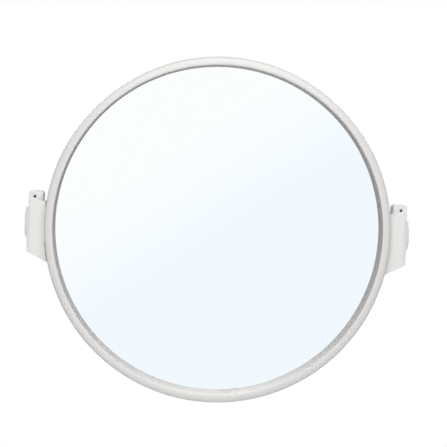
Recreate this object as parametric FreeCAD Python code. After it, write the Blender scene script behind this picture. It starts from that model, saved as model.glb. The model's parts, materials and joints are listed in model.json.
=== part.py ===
import FreeCAD, Part

import math
import os

from FreeCAD import Vector

# Extendable wall-mounted shaving mirror, in millimetres.
# The wall is the plane y = 0, the mirror faces -Y, +Z is up, and the origin is the centre of the
# wall plate's back face.  Scissor columns are counted from the wall, where column 0 is.

# Mirror head: depths are measured from the tilt axis, negative towards the user.
RING_R = 100.0
RING_WALL = 3.5
RING_CREST_DEPTH = -18.5
RING_REAR_DEPTH = 6.0
RING_FACE_WIDTH = 5.0
RING_NOSE_R = 2.5
RING_INNER_EDGE_R = 0.6
RING_CREST_SLOPE = math.radians(25.0)
GLASS_RECESS = 8.0
GLASS_THICKNESS = 3.0
GLASS_EDGE_GAP = 0.5
FOAM_THICKNESS = 1.5
BOARD_THICKNESS = 2.5
PAD_EDGE_GAP = 0.3
COVER_WALL = 2.4
COVER_RING_GAP = 0.3
COVER_RIM_INSET = 1.5
COVER_DOME_RISE = 5.5

# Tilt pivots, one at each side of the head.
SHOULDER_R = 3.0
THREAD_R = 1.75
THREAD_LENGTH = 9.0
PIVOT_HEAD_R = 4.2
PIVOT_HEAD_HEIGHT = 1.8
PIVOT_PAD_R = 5.5
PIVOT_PAD_PROUD = 0.3
PIVOT_BOSS_HALF = 5.0
PIVOT_BOSS_LENGTH = 9.0
FRICTION_WASHER_R = 5.5
FRICTION_WASHER_THICKNESS = 1.1
WAVE_WASHER_R = 4.8
WAVE_WASHER_THICKNESS = 0.7
COUNTERBORE_R = 5.2
COUNTERBORE_FLOOR = 3.5
CAP_R = 8.8
CAP_PROUD = 2.65
CAP_SKIRT_WALL = 0.6
CAP_SKIRT_LENGTH = 1.3
CAP_EDGE_R = 0.7

# Side brackets: sizes in front view, measured from the pivot, and depths from the tilt axis.
BRACKET_TOP = 13.4
BRACKET_STEP_Z = 9.5
BRACKET_STEP = 1.35
BRACKET_WIDTH = 8.6
BRACKET_REACH = 4.0
BRACKET_TAPER = 0.9
BRACKET_OUTER_DROP = 16.3
BRACKET_SLOPE = math.radians(26.5)
BRACKET_DEPTH = 20.0
BRACKET_BEVEL_WIDTH = 2.3
BRACKET_BEVEL_DEPTH = 1.1
BLOCK_WIDTH = 8.2
BLOCK_HEIGHT = 5.7
BLOCK_DEPTH = 10.0
BLOCK_CORNER_R = 1.8
BLOCK_HOLE_R = 1.45
BLOCK_HOLE_FROM_OUTSIDE = 3.5
BLOCK_HOLE_FROM_TOP = 3.45
BLOCK_FRONT_WALL = 2.0
BLOCK_EYE_R = 0.75
BLOCK_SINK_R = 1.5
BLOCK_SINK_DEPTH = 0.8
BLOCK_FACET_WIDTH = 4.0
BLOCK_FACET_HEIGHT = 4.2
BLOCK_FACET_DEPTH = 1.8
BRACKET_PEG_R = 1.8
BRACKET_PEG_LENGTH = 4.0
BRACKET_PEG_Z = -8.0

# Bracket screws, driven from behind into the blocks.
SCREW_R = 1.4
SCREW_HEAD_R = 2.5
SCREW_HEAD_HEIGHT = 1.8
SCREW_TIP_SETBACK = 4.0

# Yoke: a bow behind the head that carries both brackets, with two lugs for the front post.
BOW_THICKNESS = 5.5
BOW_INNER_DEPTH = 23.0
BOW_CROWN = 8.0
BOW_CORNER_R = 9.0
BOW_TOP = 11.7
BOW_BOTTOM = -28.0
BOW_END_INSET = 0.7
BOW_LOWER_EDGE_DROP = 1.8
EAR_THICKNESS = 3.0
EAR_BELOW_BLOCK_TOP = 1.2
HUB_OFFSET = 11.5
HUB_LUG_R = 7.5
HUB_LUG_THICKNESS = 6.0
HUB_BARREL_LENGTH = 24.0

# Scissor arm.  A bar's length is the distance between its end rivets.
CELLS = 3
BAR_LENGTH = 90.0
BAR_WIDTH = 12.0
BAR_THICKNESS = 2.3
FOLDED_ANGLE = math.radians(16.0)
REST_ANGLE = math.radians(32.0)
EXTENDED_ANGLE = math.radians(64.0)
RIVET_R = 2.5
RIVET_HEAD_R = 4.5
RIVET_HEAD_HEIGHT = 1.6
RIVET_HEAD_EDGE_R = 1.0
SPACER_R = 4.5

# Posts: a flat blade with a round barrel, one at each end of the scissor.
BLADE_THICKNESS = 4.0
BLADE_EDGE = 6.0
BLADE_CORNER_R = 5.0
POST_END_MARGIN = 8.0
POST_AXIS_OFFSET = 18.0
FRONT_BLADE_EDGE = 9.5
BARREL_R = 6.0

# Hinge pins of the posts.
PIN_R = 3.0
PIN_HEAD_R = 5.0
PIN_HEAD_HEIGHT = 2.0
PIN_CLIP_R = 5.5
PIN_CLIP_THICKNESS = 1.0
PIN_TAIL = 1.5
POST_WASHER_THICKNESS = 0.8

# Wall plate.
PLATE_WIDTH = 44.0
PLATE_THICKNESS = 4.0
PLATE_END = 17.0
PLATE_END_FLAT = 4.0
PLATE_EDGE_R = 1.2
WALL_AXIS_OFFSET = 16.0
LUG_R = 8.0
LUG_THICKNESS = 6.0
LUG_ROOT_R = 2.0
WALL_SCREW_R = 2.5
WALL_SCREW_CHAMFER = 0.8
WALL_SCREW_FROM_LUG = 8.0

# Clearances.
RUN_FIT = 0.05
FACE_GAP = 0.1
PLANE_GAP = 0.3
SLOT_FIT = 0.2
SEAT_FIT = 0.1
SWEEP_GAP = 0.3

# Places that follow from the sizes above.
UPPER_Z = BAR_LENGTH * math.cos(FOLDED_ANGLE) / 2
LOWER_Z = UPPER_Z - BAR_LENGTH * math.cos(REST_ANGLE)
SLOT_BOTTOM_Z = UPPER_Z - BAR_LENGTH * math.cos(FOLDED_ANGLE)
SLOT_TOP_Z = UPPER_Z - BAR_LENGTH * math.cos(EXTENDED_ANGLE)
COLUMN_STEP = BAR_LENGTH * math.sin(REST_ANGLE)
FIRST_COLUMN_Y = -(WALL_AXIS_OFFSET + POST_AXIS_OFFSET)
LAST_COLUMN_Y = FIRST_COLUMN_Y - CELLS * COLUMN_STEP
YOKE_AXIS_Y = LAST_COLUMN_Y - POST_AXIS_OFFSET
BOW_REAR_DEPTH = BOW_INNER_DEPTH + BOW_CROWN + BOW_THICKNESS
TILT_Y = YOKE_AXIS_Y - HUB_OFFSET - BOW_REAR_DEPTH
BAR_INNER_X = BLADE_THICKNESS / 2 + PLANE_GAP
BAR_OUTER_X = BAR_INNER_X + BAR_THICKNESS
POST_HALF_HEIGHT = UPPER_Z + POST_END_MARGIN
LUG_INNER_Z = POST_HALF_HEIGHT + POST_WASHER_THICKNESS + 2 * FACE_GAP
LUG_OUTER_Z = LUG_INNER_Z + LUG_THICKNESS
WALL_SCREW_Z = LUG_OUTER_Z + WALL_SCREW_FROM_LUG
PLATE_HALF_HEIGHT = LUG_OUTER_Z + PLATE_END
PLATE_CORNER_R = (PLATE_WIDTH - PLATE_END_FLAT) / 2
HUB_Z = (BOW_TOP + BOW_BOTTOM) / 2
HUB_LUG_INNER = HUB_BARREL_LENGTH / 2 + POST_WASHER_THICKNESS + 2 * FACE_GAP
HUB_LUG_OUTER = HUB_LUG_INNER + HUB_LUG_THICKNESS

GLASS_SIGHT_R = RING_R - RING_FACE_WIDTH
CREST_START_R = GLASS_SIGHT_R + RING_INNER_EDGE_R
CREST_END_R = RING_R - RING_NOSE_R * (1 - math.sin(RING_CREST_SLOPE))
CREST_ARC_R = (CREST_END_R - CREST_START_R) / math.sin(RING_CREST_SLOPE)
CREST_END_DEPTH = RING_CREST_DEPTH + CREST_ARC_R * (1 - math.cos(RING_CREST_SLOPE))
RING_SIDE_DEPTH = CREST_END_DEPTH + RING_NOSE_R * math.cos(RING_CREST_SLOPE)
GLASS_FRONT = RING_CREST_DEPTH + GLASS_RECESS
GLASS_REAR = GLASS_FRONT + GLASS_THICKNESS
FOAM_REAR = GLASS_REAR + FOAM_THICKNESS
BOARD_REAR = FOAM_REAR + BOARD_THICKNESS
SKIRT_R = RING_R - RING_WALL
GLASS_R = SKIRT_R - GLASS_EDGE_GAP
COVER_R = SKIRT_R - COVER_RING_GAP
COVER_INNER_R = COVER_R - COVER_WALL
PAD_R = COVER_INNER_R - PAD_EDGE_GAP
COVER_RIM_REAR = RING_REAR_DEPTH - COVER_RIM_INSET

PAD_X = RING_R + PIVOT_PAD_PROUD
BRACKET_INNER_X = PAD_X + FRICTION_WASHER_THICKNESS + FACE_GAP
BRACKET_OUTER_X = BRACKET_INNER_X + BRACKET_WIDTH
BRACKET_REACH_X = BRACKET_INNER_X - BRACKET_REACH
BRACKET_DISH_R = math.hypot(RING_R, RING_SIDE_DEPTH) + SWEEP_GAP
COUNTERBORE_X = BRACKET_INNER_X + COUNTERBORE_FLOOR
PIVOT_HEAD_X = COUNTERBORE_X + WAVE_WASHER_THICKNESS + 2 * FACE_GAP
CAP_X = BRACKET_OUTER_X
CAP_OUTER_X = CAP_X + CAP_PROUD
BRACKET_FRONT = -BRACKET_DEPTH / 2
BRACKET_REAR = BRACKET_DEPTH / 2
BLOCK_REAR = BRACKET_FRONT + BLOCK_DEPTH
BLOCK_TOP = BRACKET_TOP + BLOCK_HEIGHT
BLOCK_HOLE_X = BRACKET_OUTER_X - BLOCK_HOLE_FROM_OUTSIDE
BLOCK_HOLE_Z = BLOCK_TOP - BLOCK_HOLE_FROM_TOP
BLOCK_INNER_X = BRACKET_OUTER_X - BLOCK_WIDTH
BRACKET_STEP_X = BRACKET_OUTER_X + BRACKET_STEP
BRACKET_FOOT_X = BRACKET_STEP_X - BRACKET_TAPER
BOW_END_X = BRACKET_OUTER_X - BOW_END_INSET
BOW_ARM_X = BOW_END_X - BOW_THICKNESS / 2


def box(x0, x1, front, rear, z0, z1):
    """Block whose front and rear are depths from the tilt axis."""
    return Part.makeBox(x1 - x0, rear - front, z1 - z0, at_tilt_axis(x0, front, z0))


def rod(radius, start, end):
    axis = end.sub(start)
    return Part.makeCylinder(radius, axis.Length, start, axis)


def tube(outer_r, inner_r, start, end):
    return rod(outer_r, start, end).cut(rod(inner_r, start, end))


def prism(points, direction):
    face = Part.Face(Part.makePolygon(points + points[:1]))
    return face.extrude(direction)


def near(a, b):
    return abs(a - b) < 1e-6


def mirrored(shape):
    return shape.mirror(Vector(0, 0, 0), Vector(1, 0, 0))


def both_sides(shape):
    return Part.makeCompound([mirrored(shape), shape])


def at_tilt_axis(x, depth, z):
    return Vector(x, TILT_Y + depth, z)


def side_rod(radius, start_x, end_x):
    """Round bar on the tilt axis."""
    return rod(radius, at_tilt_axis(start_x, 0, 0), at_tilt_axis(end_x, 0, 0))


def side_tube(outer_r, inner_r, start_x, end_x):
    return side_rod(outer_r, start_x, end_x).cut(side_rod(inner_r, start_x, end_x))


def profile_point(radius, depth):
    return at_tilt_axis(0, depth, radius)


def line(start, end):
    """Straight stretch of a turned profile, between two pairs of radius and depth."""
    return Part.LineSegment(profile_point(*start), profile_point(*end)).toShape()


def bend(centre_r, centre_depth, bend_r, start, end):
    """Round stretch of a turned profile; its angles start at the front and grow outwards."""
    points = []
    for angle in (start, (start + end) / 2, end):
        radius = centre_r + bend_r * math.sin(angle)
        points.append(profile_point(radius, centre_depth - bend_r * math.cos(angle)))
    return Part.Arc(*points).toShape()


def turned(edges):
    """Solid turned about the mirror's own axis from a closed profile."""
    profile = Part.Face(Part.Wire(Part.__sortEdges__(edges)))
    return profile.revolve(at_tilt_axis(0, 0, 0), Vector(0, 1, 0), 360)


def disc(radius, front, rear):
    return rod(radius, at_tilt_axis(0, front, 0), at_tilt_axis(0, rear, 0))


# ---- mirror head ----------------------------------------------------------------------------


def bezel_ring():
    """Ring with a rounded face and a steep wall down to the glass; a skirt holds the cover."""
    quarter = math.pi / 2
    edge_depth = RING_CREST_DEPTH + RING_INNER_EDGE_R
    ring = turned([
        line((SKIRT_R, RING_REAR_DEPTH), (SKIRT_R, GLASS_FRONT)),
        line((SKIRT_R, GLASS_FRONT), (GLASS_SIGHT_R, GLASS_FRONT)),
        line((GLASS_SIGHT_R, GLASS_FRONT), (GLASS_SIGHT_R, edge_depth)),
        bend(CREST_START_R, edge_depth, RING_INNER_EDGE_R, -quarter, 0),
        bend(CREST_START_R, RING_CREST_DEPTH + CREST_ARC_R, CREST_ARC_R, 0, RING_CREST_SLOPE),
        bend(RING_R - RING_NOSE_R, RING_SIDE_DEPTH, RING_NOSE_R, RING_CREST_SLOPE, quarter),
        line((RING_R, RING_SIDE_DEPTH), (RING_R, RING_REAR_DEPTH)),
        line((RING_R, RING_REAR_DEPTH), (SKIRT_R, RING_REAR_DEPTH)),
    ])
    pad = side_rod(PIVOT_PAD_R, SKIRT_R - RING_WALL, PAD_X)
    pad = pad.cut(disc(SKIRT_R, GLASS_FRONT, RING_REAR_DEPTH))
    hole = side_rod(SHOULDER_R + RUN_FIT, -PAD_X, PAD_X)
    return ring.fuse(pad).fuse(mirrored(pad)).cut(hole).removeSplitter()


def mirror_glass():
    return disc(GLASS_R, GLASS_FRONT, GLASS_REAR)


def foam_pad():
    return disc(PAD_R, GLASS_REAR, FOAM_REAR)


def backing_board():
    return disc(PAD_R, FOAM_REAR, BOARD_REAR)


def dome(radius, rim_rear):
    """Profile of a shallow spherical dome, from its rim to its crown above the centre."""
    ball_r = (radius ** 2 + COVER_DOME_RISE ** 2) / (2 * COVER_DOME_RISE)
    rim_angle = math.pi - math.asin(radius / ball_r)
    return bend(0, rim_rear + COVER_DOME_RISE - ball_r, ball_r, rim_angle, math.pi)


def cover_shell():
    """Skirt and dome of one wall thickness, turned from one profile."""
    inner_rim_rear = COVER_RIM_REAR - COVER_WALL
    crown = COVER_RIM_REAR + COVER_DOME_RISE
    return turned([
        line((COVER_INNER_R, GLASS_REAR), (COVER_R, GLASS_REAR)),
        line((COVER_R, GLASS_REAR), (COVER_R, COVER_RIM_REAR)),
        dome(COVER_R, COVER_RIM_REAR),
        line((0, crown), (0, crown - COVER_WALL)),
        dome(COVER_INNER_R, inner_rim_rear),
        line((COVER_INNER_R, inner_rim_rear), (COVER_INNER_R, GLASS_REAR)),
    ])


def rear_cover():
    """Domed shell whose rim presses on the glass, with a boss inside for each pivot screw."""
    boss_start = COVER_INNER_R - PIVOT_BOSS_LENGTH
    boss = box(
        boss_start, COVER_R - COVER_WALL / 2,
        BOARD_REAR + FACE_GAP, COVER_RIM_REAR - COVER_WALL / 4,
        -PIVOT_BOSS_HALF, PIVOT_BOSS_HALF,
    )
    thread = side_rod(THREAD_R + RUN_FIT, boss_start, PAD_X)
    cover = cover_shell().fuse(boss).fuse(mirrored(boss))
    return cover.cut(both_sides(thread)).removeSplitter()


def pivot_screws():
    """Shoulder screws that the head tilts on; their threads bite in the cover's bosses."""
    shoulder_x = COVER_R + FACE_GAP
    steps = [
        (THREAD_R, shoulder_x - THREAD_LENGTH, shoulder_x),
        (SHOULDER_R, shoulder_x, PIVOT_HEAD_X),
        (PIVOT_HEAD_R, PIVOT_HEAD_X, PIVOT_HEAD_X + PIVOT_HEAD_HEIGHT),
    ]
    screw = side_rod(*steps[0])
    for step in steps[1:]:
        screw = screw.fuse(side_rod(*step))
    return both_sides(screw.removeSplitter())


def friction_washers():
    return both_sides(side_tube(
        FRICTION_WASHER_R, SHOULDER_R + RUN_FIT, PAD_X, PAD_X + FRICTION_WASHER_THICKNESS))


# ---- yoke -----------------------------------------------------------------------------------


def slope_z(x):
    """Height of the brackets' lower edge, which slopes down towards the mirror's centre."""
    return -BRACKET_OUTER_DROP - (BRACKET_FOOT_X - x) * math.tan(BRACKET_SLOPE)


def bracket_plate():
    """Lower, full-depth part of the bracket: a plate with a tapered side and a sloping foot."""
    points = [
        at_tilt_axis(BRACKET_REACH_X, BRACKET_FRONT, BRACKET_STEP_Z),
        at_tilt_axis(BRACKET_STEP_X, BRACKET_FRONT, BRACKET_STEP_Z),
        at_tilt_axis(BRACKET_FOOT_X, BRACKET_FRONT, slope_z(BRACKET_FOOT_X)),
        at_tilt_axis(BRACKET_REACH_X, BRACKET_FRONT, slope_z(BRACKET_REACH_X)),
    ]
    return prism(points, Vector(0, BRACKET_DEPTH, 0))


def bracket_bevel():
    """Wedge that bevels the front face along its outer side, leaning with the taper."""
    drop = BLOCK_TOP - slope_z(BRACKET_REACH_X)
    lean = BRACKET_TAPER / (BRACKET_STEP_Z + BRACKET_OUTER_DROP)
    outer_x = BRACKET_STEP_X + lean * (BRACKET_TOP - BRACKET_STEP_Z)
    points = [
        at_tilt_axis(outer_x - BRACKET_BEVEL_WIDTH, BRACKET_FRONT, BRACKET_TOP),
        at_tilt_axis(outer_x, BRACKET_FRONT, BRACKET_TOP),
        at_tilt_axis(outer_x, BRACKET_FRONT + BRACKET_BEVEL_DEPTH, BRACKET_TOP),
    ]
    return prism(points, Vector(-lean * drop, 0, -drop))


def bracket_block():
    """Small block on top of the bracket, rounded above, with a slanted facet at its inner foot."""
    block = box(BLOCK_INNER_X, BRACKET_OUTER_X, BRACKET_FRONT, BLOCK_REAR, BRACKET_TOP, BLOCK_TOP)
    corners = [edge for edge in block.Edges if is_level_front_to_back(edge, BLOCK_TOP)]
    block = block.makeFillet(BLOCK_CORNER_R, corners)
    foot = at_tilt_axis(BLOCK_INNER_X, BRACKET_FRONT, BRACKET_TOP)
    across = foot.add(Vector(BLOCK_FACET_WIDTH, 0, 0))
    above = foot.add(Vector(0, 0, BLOCK_FACET_HEIGHT))
    behind = foot.add(Vector(0, BLOCK_FACET_DEPTH, 0))
    base = Part.makePolygon([foot, across, above, foot])
    return block.cut(Part.makeLoft([base, Part.Vertex(behind)], True, True))


def block_hole():
    """Screw's bore from behind, which ends in a small countersunk eye in the block's front."""
    front = at_tilt_axis(BLOCK_HOLE_X, BRACKET_FRONT, BLOCK_HOLE_Z)
    bore_end = at_tilt_axis(BLOCK_HOLE_X, BRACKET_FRONT + BLOCK_FRONT_WALL, BLOCK_HOLE_Z)
    rear = at_tilt_axis(BLOCK_HOLE_X, BLOCK_REAR, BLOCK_HOLE_Z)
    sink = Part.makeCone(BLOCK_SINK_R, BLOCK_EYE_R, BLOCK_SINK_DEPTH, front, Vector(0, 1, 0))
    return rod(BLOCK_EYE_R, front, bore_end).fuse(rod(BLOCK_HOLE_R, bore_end, rear)).fuse(sink)


def is_level_front_to_back(edge, z):
    first, last = (vertex.Point for vertex in edge.Vertexes)
    return near(first.z, z) and near(last.z, z) and near(first.x, last.x)


def dish():
    """Room for the tilting ring beside a bracket: a ball, cut flat where only its side passes."""
    centre = at_tilt_axis(0, 0, 0)
    ball = Part.makeSphere(BRACKET_DISH_R, centre).rotated(centre, Vector(0, 0, 1), 180)
    reach = BRACKET_DISH_R
    return ball.common(box(0, RING_R + SWEEP_GAP, -reach, reach, -reach, reach))


def side_bracket():
    """Right-hand bracket, which holds the tilt pivot; a peg behind it locates it on the bow."""
    shoulder = box(
        BRACKET_REACH_X, BRACKET_OUTER_X, BRACKET_FRONT, BLOCK_REAR, BRACKET_STEP_Z, BRACKET_TOP)
    peg = rod(
        BRACKET_PEG_R,
        at_tilt_axis(BOW_ARM_X, BRACKET_REAR, BRACKET_PEG_Z),
        at_tilt_axis(BOW_ARM_X, BRACKET_REAR + BRACKET_PEG_LENGTH, BRACKET_PEG_Z),
    )
    washer_seat = side_rod(FRICTION_WASHER_R + SEAT_FIT, BRACKET_REACH_X, BRACKET_INNER_X)
    bracket = bracket_plate().fuse(shoulder).cut(bracket_bevel()).cut(dish()).cut(washer_seat)
    bracket = bracket.fuse(bracket_block()).fuse(peg).cut(block_hole())
    bracket = bracket.cut(side_rod(SHOULDER_R + RUN_FIT, BRACKET_INNER_X, BRACKET_STEP_X))
    bracket = bracket.cut(side_rod(COUNTERBORE_R, COUNTERBORE_X, BRACKET_STEP_X))
    bracket = bracket.cut(side_rod(CAP_R + SEAT_FIT, CAP_X, BRACKET_STEP_X))
    return bracket.removeSplitter()


def pivot_cap():
    """Right-hand cap: a rounded disc over the pivot screw, with a skirt in the counterbore."""
    cap = side_rod(CAP_R, CAP_X, CAP_OUTER_X)
    rim = [edge for edge in cap.Edges if all(near(v.X, CAP_OUTER_X) for v in edge.Vertexes)]
    cap = cap.makeFillet(CAP_EDGE_R, [edge for edge in rim if not near(edge.Length, 0)])
    skirt_r = COUNTERBORE_R - RUN_FIT
    skirt = side_tube(skirt_r, skirt_r - CAP_SKIRT_WALL, CAP_X - CAP_SKIRT_LENGTH, CAP_X)
    return cap.fuse(skirt).removeSplitter()


def wave_washers():
    start = COUNTERBORE_X + FACE_GAP
    return both_sides(side_tube(
        WAVE_WASHER_R, SHOULDER_R + SEAT_FIT, start, start + WAVE_WASHER_THICKNESS))


def bow_block(half_width, side_depth, corner_r):
    """Solid with a gently crowned back and two rounded corners, seen from above."""
    bottom = BOW_BOTTOM
    crown = at_tilt_axis(0, side_depth + BOW_CROWN, bottom)
    left_back = at_tilt_axis(-half_width, side_depth, bottom)
    right_back = at_tilt_axis(half_width, side_depth, bottom)
    left_front = at_tilt_axis(-half_width, BRACKET_REAR, bottom)
    right_front = at_tilt_axis(half_width, BRACKET_REAR, bottom)
    wire = Part.Wire([
        Part.LineSegment(left_front, left_back).toShape(),
        Part.Arc(left_back, crown, right_back).toShape(),
        Part.LineSegment(right_back, right_front).toShape(),
        Part.LineSegment(right_front, left_front).toShape(),
    ])
    block = Part.Face(wire).extrude(Vector(0, 0, BOW_TOP - bottom))
    corners = [edge for edge in block.Edges if is_upright_at(edge, TILT_Y + side_depth)]
    return block.makeFillet(corner_r, corners)


def is_upright_at(edge, y):
    first, last = (vertex.Point for vertex in edge.Vertexes)
    return near(first.x, last.x) and near(first.y, y) and near(last.y, y)


def bow_strap():
    """The bow itself: its lower edge slopes like the brackets' and then runs level."""
    outer = bow_block(BOW_END_X, BOW_INNER_DEPTH + BOW_THICKNESS, BOW_CORNER_R + BOW_THICKNESS)
    inner = bow_block(BOW_END_X - BOW_THICKNESS, BOW_INNER_DEPTH, BOW_CORNER_R)
    end_z = slope_z(BOW_END_X) - BOW_LOWER_EDGE_DROP
    level_x = BOW_END_X - (end_z - BOW_BOTTOM) / math.tan(BRACKET_SLOPE)
    rear = BOW_REAR_DEPTH - BRACKET_REAR
    waste = prism([
        at_tilt_axis(BOW_END_X, BRACKET_REAR, end_z),
        at_tilt_axis(BOW_END_X, BRACKET_REAR, BOW_BOTTOM),
        at_tilt_axis(level_x, BRACKET_REAR, BOW_BOTTOM),
    ], Vector(0, rear, 0))
    return outer.cut(inner).cut(both_sides(waste))


def bow_ear():
    """Shelf and ear at the bow's right end, which the bracket screw passes through."""
    inner_x = BOW_END_X - BOW_THICKNESS
    front = BLOCK_REAR + FACE_GAP
    foot_z = BRACKET_STEP_Z + FACE_GAP
    shelf = box(inner_x, BOW_END_X, front, BRACKET_REAR + BOW_THICKNESS, foot_z, BOW_TOP)
    ear = box(
        inner_x, BOW_END_X, front, front + EAR_THICKNESS, foot_z, BLOCK_TOP - EAR_BELOW_BLOCK_TOP)
    hole = rod(
        SCREW_R + SEAT_FIT,
        at_tilt_axis(BLOCK_HOLE_X, front, BLOCK_HOLE_Z),
        at_tilt_axis(BLOCK_HOLE_X, front + EAR_THICKNESS, BLOCK_HOLE_Z),
    )
    return shelf.fuse(ear).cut(hole)


def yoke_bow():
    """Bow with an ear at each end and two lugs behind that hold the front post's barrel."""
    bow = bow_strap().fuse(bow_ear()).fuse(mirrored(bow_ear()))
    peg_hole = rod(
        BRACKET_PEG_R + SEAT_FIT,
        at_tilt_axis(BOW_ARM_X, BRACKET_REAR, BRACKET_PEG_Z),
        at_tilt_axis(BOW_ARM_X, BRACKET_REAR + BRACKET_PEG_LENGTH + FACE_GAP, BRACKET_PEG_Z),
    )
    bow = bow.cut(both_sides(peg_hole))
    for lug_z in (HUB_Z + HUB_LUG_INNER, HUB_Z - HUB_LUG_OUTER):
        lug_start = TILT_Y + BOW_REAR_DEPTH - BOW_THICKNESS / 2
        lug = hinge_lug(HUB_LUG_R, lug_start, YOKE_AXIS_Y, lug_z, HUB_LUG_THICKNESS)
        bow = bow.fuse(lug)
    return bow.removeSplitter()


def bracket_screws():
    """Screws from behind through the bow's ears; their tips stop inside the brackets' blocks."""
    seat = BLOCK_REAR + FACE_GAP + EAR_THICKNESS
    shank = rod(
        SCREW_R,
        at_tilt_axis(BLOCK_HOLE_X, BRACKET_FRONT + SCREW_TIP_SETBACK, BLOCK_HOLE_Z),
        at_tilt_axis(BLOCK_HOLE_X, seat, BLOCK_HOLE_Z),
    )
    head = rod(
        SCREW_HEAD_R,
        at_tilt_axis(BLOCK_HOLE_X, seat, BLOCK_HOLE_Z),
        at_tilt_axis(BLOCK_HOLE_X, seat + SCREW_HEAD_HEIGHT, BLOCK_HOLE_Z),
    )
    return both_sides(shank.fuse(head).removeSplitter())


# ---- upright hinges -------------------------------------------------------------------------


def hinge_lug(radius, root_y, axis_y, bottom_z, thickness):
    """Rounded lug that reaches from root_y to an upright hinge axis, with the pin's bore."""
    near_y = min(root_y, axis_y)
    arm = Part.makeBox(2 * radius, abs(axis_y - root_y), thickness, Vector(-radius, near_y, bottom_z))
    eye = Part.makeCylinder(radius, thickness, Vector(0, axis_y, bottom_z))
    bore = Part.makeCylinder(PIN_R + RUN_FIT, thickness, Vector(0, axis_y, bottom_z))
    return arm.fuse(eye).cut(bore)


def hinge_pin(axis_y, centre_z, half_height):
    """Upright pin with a head on top and a plain tail for its clip."""
    tail_z = centre_z - half_height - PIN_CLIP_THICKNESS - PIN_TAIL
    top_z = centre_z + half_height
    shank = rod(PIN_R, Vector(0, axis_y, tail_z), Vector(0, axis_y, top_z))
    head = rod(PIN_HEAD_R, Vector(0, axis_y, top_z), Vector(0, axis_y, top_z + PIN_HEAD_HEIGHT))
    return shank.fuse(head).removeSplitter()


def pin_clip(axis_y, centre_z, half_height):
    top_z = centre_z - half_height
    bottom_z = top_z - PIN_CLIP_THICKNESS
    return tube(PIN_CLIP_R, PIN_R + RUN_FIT, Vector(0, axis_y, bottom_z), Vector(0, axis_y, top_z))


def barrel_washers(axis_y, centre_z, barrel_half):
    washers = []
    for bottom in (barrel_half + FACE_GAP, -barrel_half - FACE_GAP - POST_WASHER_THICKNESS):
        start = Vector(0, axis_y, centre_z + bottom)
        end = Vector(0, axis_y, centre_z + bottom + POST_WASHER_THICKNESS)
        washers.append(tube(BARREL_R, PIN_R + RUN_FIT, start, end))
    return Part.makeCompound(washers)


def barrel(axis_y, centre_z, barrel_half):
    start = Vector(0, axis_y, centre_z - barrel_half)
    end = Vector(0, axis_y, centre_z + barrel_half)
    return rod(BARREL_R, start, end), rod(PIN_R + RUN_FIT, start, end)


# ---- posts ----------------------------------------------------------------------------------


def blade(front_y, rear_y):
    corner = Vector(-BLADE_THICKNESS / 2, front_y, -POST_HALF_HEIGHT)
    return Part.makeBox(BLADE_THICKNESS, rear_y - front_y, 2 * POST_HALF_HEIGHT, corner)


def pivot_cuts(column_y):
    """Round hole for the fixed upper pivot and a slot for the sliding lower one."""
    reach = BLADE_THICKNESS
    hole = rod(RIVET_R + RUN_FIT, Vector(-reach, column_y, UPPER_Z), Vector(reach, column_y, UPPER_Z))
    slot_r = RIVET_R + SLOT_FIT
    slot = Part.makeBox(
        2 * reach, 2 * slot_r, SLOT_TOP_Z - SLOT_BOTTOM_Z,
        Vector(-reach, column_y - slot_r, SLOT_BOTTOM_Z),
    )
    for end_z in (SLOT_BOTTOM_Z, SLOT_TOP_Z):
        slot = slot.fuse(rod(slot_r, Vector(-reach, column_y, end_z), Vector(reach, column_y, end_z)))
    return hole.fuse(slot)


def rear_post():
    """Post at the wall: its barrel swivels on the wall pin."""
    outer_y = FIRST_COLUMN_Y - BLADE_EDGE
    plate = blade(outer_y, -WALL_AXIS_OFFSET)
    plate = plate.makeFillet(BLADE_CORNER_R, blade_corners(plate, [outer_y]))
    body, bore = barrel(-WALL_AXIS_OFFSET, 0, POST_HALF_HEIGHT)
    return plate.fuse(body).cut(bore).cut(pivot_cuts(FIRST_COLUMN_Y)).removeSplitter()


def blade_corners(plate, faces_y):
    """The blade's corner edges, through its thickness, on the faces named by their y."""
    corners = []
    for edge in plate.Edges:
        first, last = (vertex.Point for vertex in edge.Vertexes)
        through = not near(first.x, last.x)
        if through and any(near(first.y, face_y) for face_y in faces_y):
            corners.append(edge)
    return corners


def front_post():
    """Post behind the mirror: its short barrel sits between the yoke's lugs."""
    front_y = YOKE_AXIS_Y + FRONT_BLADE_EDGE
    rear_y = LAST_COLUMN_Y + BLADE_EDGE
    plate = blade(front_y, rear_y)
    plate = plate.makeFillet(BLADE_CORNER_R, blade_corners(plate, [front_y, rear_y]))
    half = HUB_BARREL_LENGTH / 2
    web = Part.makeBox(
        BLADE_THICKNESS, FRONT_BLADE_EDGE + BLADE_EDGE, HUB_BARREL_LENGTH,
        Vector(-BLADE_THICKNESS / 2, YOKE_AXIS_Y, HUB_Z - half),
    )
    body, bore = barrel(YOKE_AXIS_Y, HUB_Z, half)
    post = plate.fuse(web).fuse(body)
    return post.cut(bore).cut(pivot_cuts(LAST_COLUMN_Y)).removeSplitter()


# ---- scissor arm ----------------------------------------------------------------------------


def column_y(column):
    return FIRST_COLUMN_Y - column * COLUMN_STEP


def upper_pivot(column):
    return column_y(column), UPPER_Z


def lower_pivot(column):
    return column_y(column), LOWER_Z


def middle_pivot(cell):
    return (column_y(cell - 1) + column_y(cell)) / 2, (UPPER_Z + LOWER_Z) / 2


def across(radius, low_x, high_x, pivot):
    """Round bar along X at a pivot of the scissor."""
    return rod(radius, Vector(low_x, *pivot), Vector(high_x, *pivot))


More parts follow.
